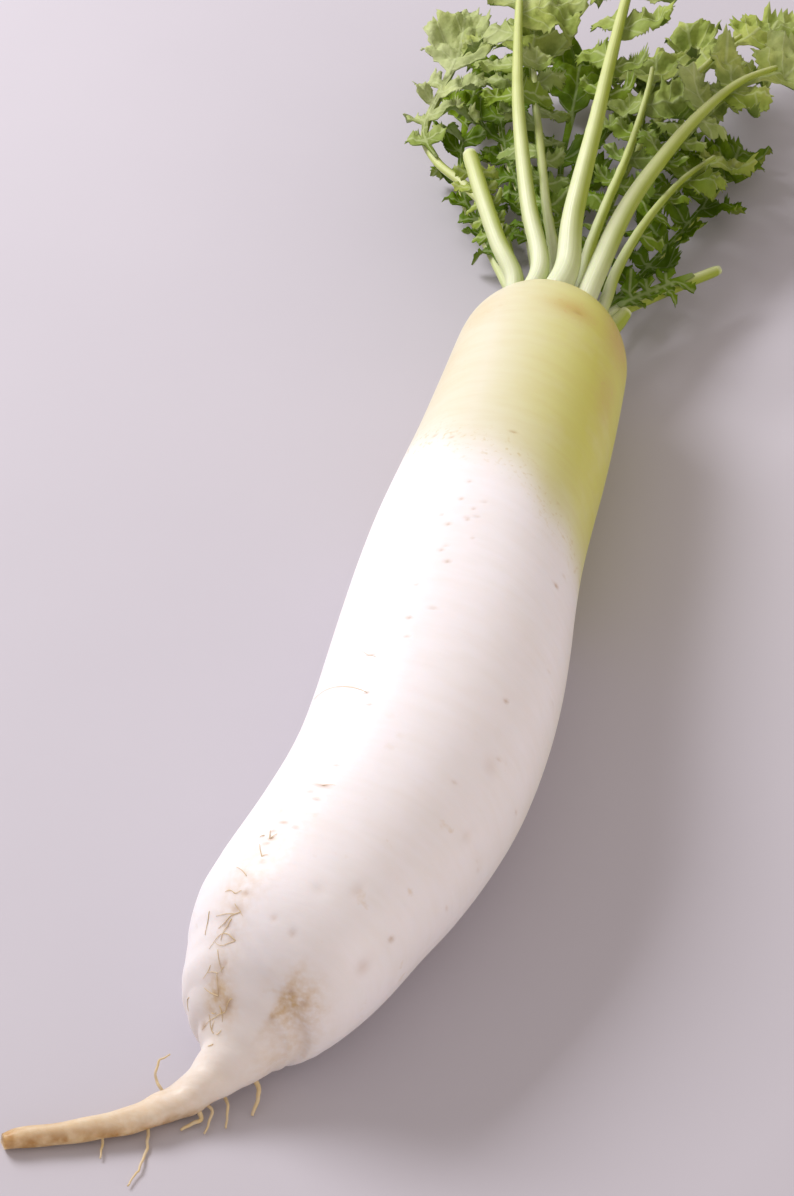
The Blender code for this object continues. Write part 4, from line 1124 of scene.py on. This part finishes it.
def crumple(lobe, a, b, side):
    """Folds, puckers between the veins and rolled margins of a soft blade, none at its foot; the side is the spec's."""
    share = min(1.0, 1.6 * a / lobe.length)
    room = min(1.0, lobe.length / 22.0)
    fold = noise.noise(Vector((a * 0.09, b * 0.09, lobe.phase * 7.0)))
    blister = abs(noise.noise(Vector((a * 0.17, b * 0.17, lobe.phase * 3.0))))
    fine = abs(noise.noise(Vector((a * 0.36, b * 0.36, lobe.phase))))
    swept = vein_course(lobe, a, b) - VEIN_SWEEP * abs(b)
    pucker = abs(math.sin(math.pi * swept / VEIN_PITCH)) * min(1.0, abs(b) / 3.0)
    half = 0.5 * lobe.width
    edge = min(1.2, abs(b) / half)
    ruffle = RUFFLE_HEIGHT * edge ** 3 * math.sin(a * 0.75 + lobe.phase + 1.5 * fold + math.copysign(1.3, b))
    near = min(1.0, max(0.0, (-b / half - 0.15) / 0.75))
    far = min(1.0, max(0.0, (a / lobe.length - 0.6) / 0.4))
    roll = SIDE_ROLL * (0.5 + 0.5 * math.sin(lobe.phase * 5.0)) * near ** 1.6
    roll += TIP_ROLL * math.sin(lobe.phase * 3.0) * far ** 1.6
    large = room * (FOLD_HEIGHT * fold + BLISTER_HEIGHT * blister + ruffle + side * roll)
    return share * (large + FINE_HEIGHT * fine + PUCKER_HEIGHT * pucker)


def blade_plan(spec, grain, line, draw):
    """Places across a blade, those of the rim first, and how many of those there are.

    Each is (u, v, height, place along the main vein, place beside it).
    """
    sides, end = make_lobes(spec, line)
    first = spec["start"] * line.length
    inner = []

    def on_lobe(lobe, a, b):
        u, v = lobe.flat(a, b)
        height = lobe.height(a, b) + crumple(lobe, a, b, spec["side"]) if a > 0.0 else 0.0
        return (u, v, height, vein_course(lobe, a, b), b)

    rims = {}
    for hand, lobes in sides.items():
        rims[hand] = []
        for lobe in lobes:
            rims[hand] += [on_lobe(lobe, a, b) for a, b in fine_edge(lobe, draw)]
            inner += [on_lobe(lobe, a, b) for a, b in fill_points(lobe, grain)]
    half = STRIP_END_SHARE * strip_half(spec, line, first)
    rim = [(first - STRIP_LEAD, -half, 0.0, 0.0, 0.0), (first - STRIP_LEAD, half, 0.0, 0.0, 0.0)] + rims[1]
    if end:
        rim += [on_lobe(end, a, b) for a, b in fine_edge(end, draw)]
        inner += [on_lobe(end, a, b) for a, b in fill_points(end, grain)]
    else:
        last = spec["stop"] * line.length
        half = STRIP_END_SHARE * strip_half(spec, line, last)
        rim += [(last + STRIP_LEAD, half, 0.0, 0.0, 0.0), (last + STRIP_LEAD, -half, 0.0, 0.0, 0.0)]
    rim += reversed(rims[-1])
    u = first + 2.0
    stop = max(lobe.u for lobes in sides.values() for lobe in lobes)
    while u < stop:
        inner.append((u, 0.0, 0.0, u, 0.0))
        u += grain * 1.5
    return rim + inner, len(rim)


def sheet_faces(triangles, count, above):
    """Faces and material slots of a sheet: its upper side, the same turned over, and the rim between them."""
    faces = []
    slots = []
    used = {}
    for t in triangles:
        faces.append(tuple(t))
        faces.append(tuple(i + count for i in reversed(t)))
        slots += [above, 1 - above]
        for i in range(3):
            used[(t[i], t[(i + 1) % 3])] = True
    for a, b in used:
        if (b, a) not in used:
            faces.append((b, a, a + count, b + count))
            slots.append(above)
    return faces, slots


def fine_blade(name, spec, grain, thickness, upper, under):
    """One leaf blade with its lobes, teeth, puckers and veins. Both faces are split alike."""
    line = leaf_line(spec)
    draw = random.Random(name)
    places, rim = blade_plan(spec, grain, line, draw)
    flat = [Vector(place[:2]) for place in places]
    edges = [(i, (i + 1) % rim) for i in range(rim)]
    spots, _, triangles, origins, _, _ = delaunay_2d_cdt(flat, edges, [list(range(rim))], 1, 1e-5)
    top = []
    bottom = []
    uv = []
    inner = []
    pale = []
    leaf = name.rsplit("_", 1)[0]
    first = spec["start"] * line.length
    reach = line.length - first
    light_phase = draw.uniform(0.0, 9.0)
    for spot, origin in zip(spots, origins):
        u, v, height, a, b = places[origin[0]] if origin else (spot.x, spot.y, 0.0, 0.0, 0.0)
        centre, ahead, side, up = line.frame(u)
        beyond = max(0.0, u - line.length)
        off = stalk_radius(spec, min(STALK_END * 0.9, u / line.length)) + BLADE_GAP + BLADE_HALF
        middle = centre + ahead * beyond + side * v + up * (spec["side"] * (off + height))
        middle.z = max(middle.z, BLADE_LEAST_Z)
        top.append(middle + up * thickness * 0.5)
        bottom.append(middle - up * thickness * 0.5)
        uv.append((a, b))
        out = (u - first) / reach
        # painted shade: a deeper green near the crown, more on the leaves in the bunch's shade
        inner.append(min(1.0, max(0.0, PAINTED_SHADE.get(leaf, 0.0) + 1.1 - 1.5 * out)))
        # painted sheen: pale in uneven patches on the leaves that face the light, more towards their tips
        light = noise.noise(Vector((u * 0.05, v * 0.05, light_phase))) + 0.5
        pale.append(min(1.0, max(0.0, SHEEN_SHARE.get(leaf, 0.0) * min(1.0, 1.8 * out) * light * 1.4)))
    above = 1 if spec["side"] < 0 or name in PALE_ABOVE else 0
    faces, slots = sheet_faces(triangles, len(top), above)
    obj = make_object(name + "_fine", top + bottom, faces, [upper, under], uv=uv + uv, uv_name="leaf",
                      slots=slots, masks={"inner": inner * 2, "pale": pale * 2})
    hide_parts(name)


class RADISH_OT_blades(bpy.types.Operator):
    """Builds each leaf blade finely, with toothed lobes, puckers and veins."""

    bl_idname = "radish.blades"
    bl_label = "Leaf blades"

    def execute(self, context):
        look = context.scene.radish_leaf
        # the veins stand out more on the underside
        upper = leaf_face(look, "leaf_upper_face", tuple(look.upper), 0.30)
        under = leaf_face(look, "leaf_underside", tuple(look.under), 0.40)
        grain = look.grain / MM
        thickness = look.thickness / MM
        for name, spec in LEAVES.items():
            fine_blade(name + "_blade", spec, grain, thickness, upper, under)
        for name, spec in CUT_LEAVES.items():
            fine_blade(name + "_leaflets", spec, grain, thickness, upper, under)
        return {"FINISHED"}


# ---------------------------------------------------------------- stage


FLOOR_HALF = 2.5
FLOOR_DROP = 0.0002  # below what rests on it
LIGHT_TARGET = Vector((-0.02, 0.05, 0.0))
CAMERA_PLACE = (0.2295, -0.7070, 0.7747)
CAMERA_TURN = (math.radians(47.0), 0.0, math.radians(19.0))


class RADISH_OT_stage(bpy.types.Operator):
    """Adds the floor, the soft light and the camera."""

    bl_idname = "radish.stage"
    bl_label = "Stage"

    def execute(self, context):
        look = context.scene.radish_stage
        scene = context.scene
        mesh = bpy.data.meshes.new("floor")
        corners = [(-FLOOR_HALF, -FLOOR_HALF, -FLOOR_DROP), (FLOOR_HALF, -FLOOR_HALF, -FLOOR_DROP),
                   (FLOOR_HALF, FLOOR_HALF, -FLOOR_DROP), (-FLOOR_HALF, FLOOR_HALF, -FLOOR_DROP)]
        mesh.from_pydata(corners, [], [(0, 1, 2, 3)])
        mesh.materials.append(plain_floor(look))
        floor = bpy.data.objects.new("floor", mesh)
        scene.collection.objects.link(floor)
        # a large window on the left and a little behind, and a weak warm light from the right, low down
        for name, place, size, power, tint in (
                ("window_light", (-1.08, 0.34, 1.02), (0.75, 0.6), look.key_power, look.window_tint),
                ("fill_light", (1.30, -0.55, 0.30), (1.1, 0.5), look.fill_power, look.fill_tint)):
            lamp = bpy.data.lights.new(name, "AREA")
            lamp.shape = "RECTANGLE"
            lamp.size, lamp.size_y = size
            lamp.energy = power
            lamp.color = tint[:3]
            window = bpy.data.objects.new(name, lamp)
            window.location = LIGHT_TARGET + Vector(place)
            window.rotation_euler = (LIGHT_TARGET - window.location).to_track_quat("-Z", "Y").to_euler()
            scene.collection.objects.link(window)
        world = bpy.data.worlds.new("even_light")
        world.use_nodes = True
        sky = world.node_tree.nodes["Background"]
        sky.inputs["Color"].default_value = look.sky_tint
        sky.inputs["Strength"].default_value = look.sky
        scene.world = world
        lens = bpy.data.cameras.new("camera")
        lens.sensor_fit = "VERTICAL"
        lens.sensor_height = 36.0
        lens.lens = look.lens
        lens.clip_start = 0.01
        camera = bpy.data.objects.new("camera", lens)
        camera.location = CAMERA_PLACE
        camera.rotation_euler = Euler(CAMERA_TURN, "XYZ")
        scene.collection.objects.link(camera)
        scene.camera = camera
        scene.view_settings.view_transform = "Standard"
        return {"FINISHED"}


class RADISH_PT_panel(bpy.types.Panel):
    """Sidebar panel with the radish's pieces and settings."""

    bl_label = "Daikon radish"
    bl_idname = "RADISH_PT_panel"
    bl_space_type = "VIEW_3D"
    bl_region_type = "UI"
    bl_category = "Radish"

    def draw(self, context):
        scene = context.scene
        for settings, buttons in ((scene.radish_skin, (RADISH_OT_root, RADISH_OT_rootlets)),
                                  (scene.radish_leaf, (RADISH_OT_stalks, RADISH_OT_blades)),
                                  (scene.radish_stage, (RADISH_OT_stage,))):
            box = self.layout.box()
            for key in settings.__annotations__:
                box.prop(settings, key)
            for button in buttons:
                box.operator(button.bl_idname)


CLASSES = (RadishSkinSettings, RadishLeafSettings, RadishStageSettings, RADISH_OT_root, RADISH_OT_rootlets,
           RADISH_OT_stalks, RADISH_OT_blades, RADISH_OT_stage, RADISH_PT_panel)


def register():
    for each in CLASSES:
        bpy.utils.register_class(each)
    bpy.types.Scene.radish_skin = PointerProperty(type=RadishSkinSettings)
    bpy.types.Scene.radish_leaf = PointerProperty(type=RadishLeafSettings)
    bpy.types.Scene.radish_stage = PointerProperty(type=RadishStageSettings)


def unregister():
    del bpy.types.Scene.radish_stage
    del bpy.types.Scene.radish_leaf
    del bpy.types.Scene.radish_skin
    for each in reversed(CLASSES):
        bpy.utils.unregister_class(each)


def main():
    register()
    bpy.ops.radish.root()
    bpy.ops.radish.rootlets()
    bpy.ops.radish.stalks()
    bpy.ops.radish.blades()
    bpy.ops.radish.stage()
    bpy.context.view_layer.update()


if __name__ == "__main__":
    main()
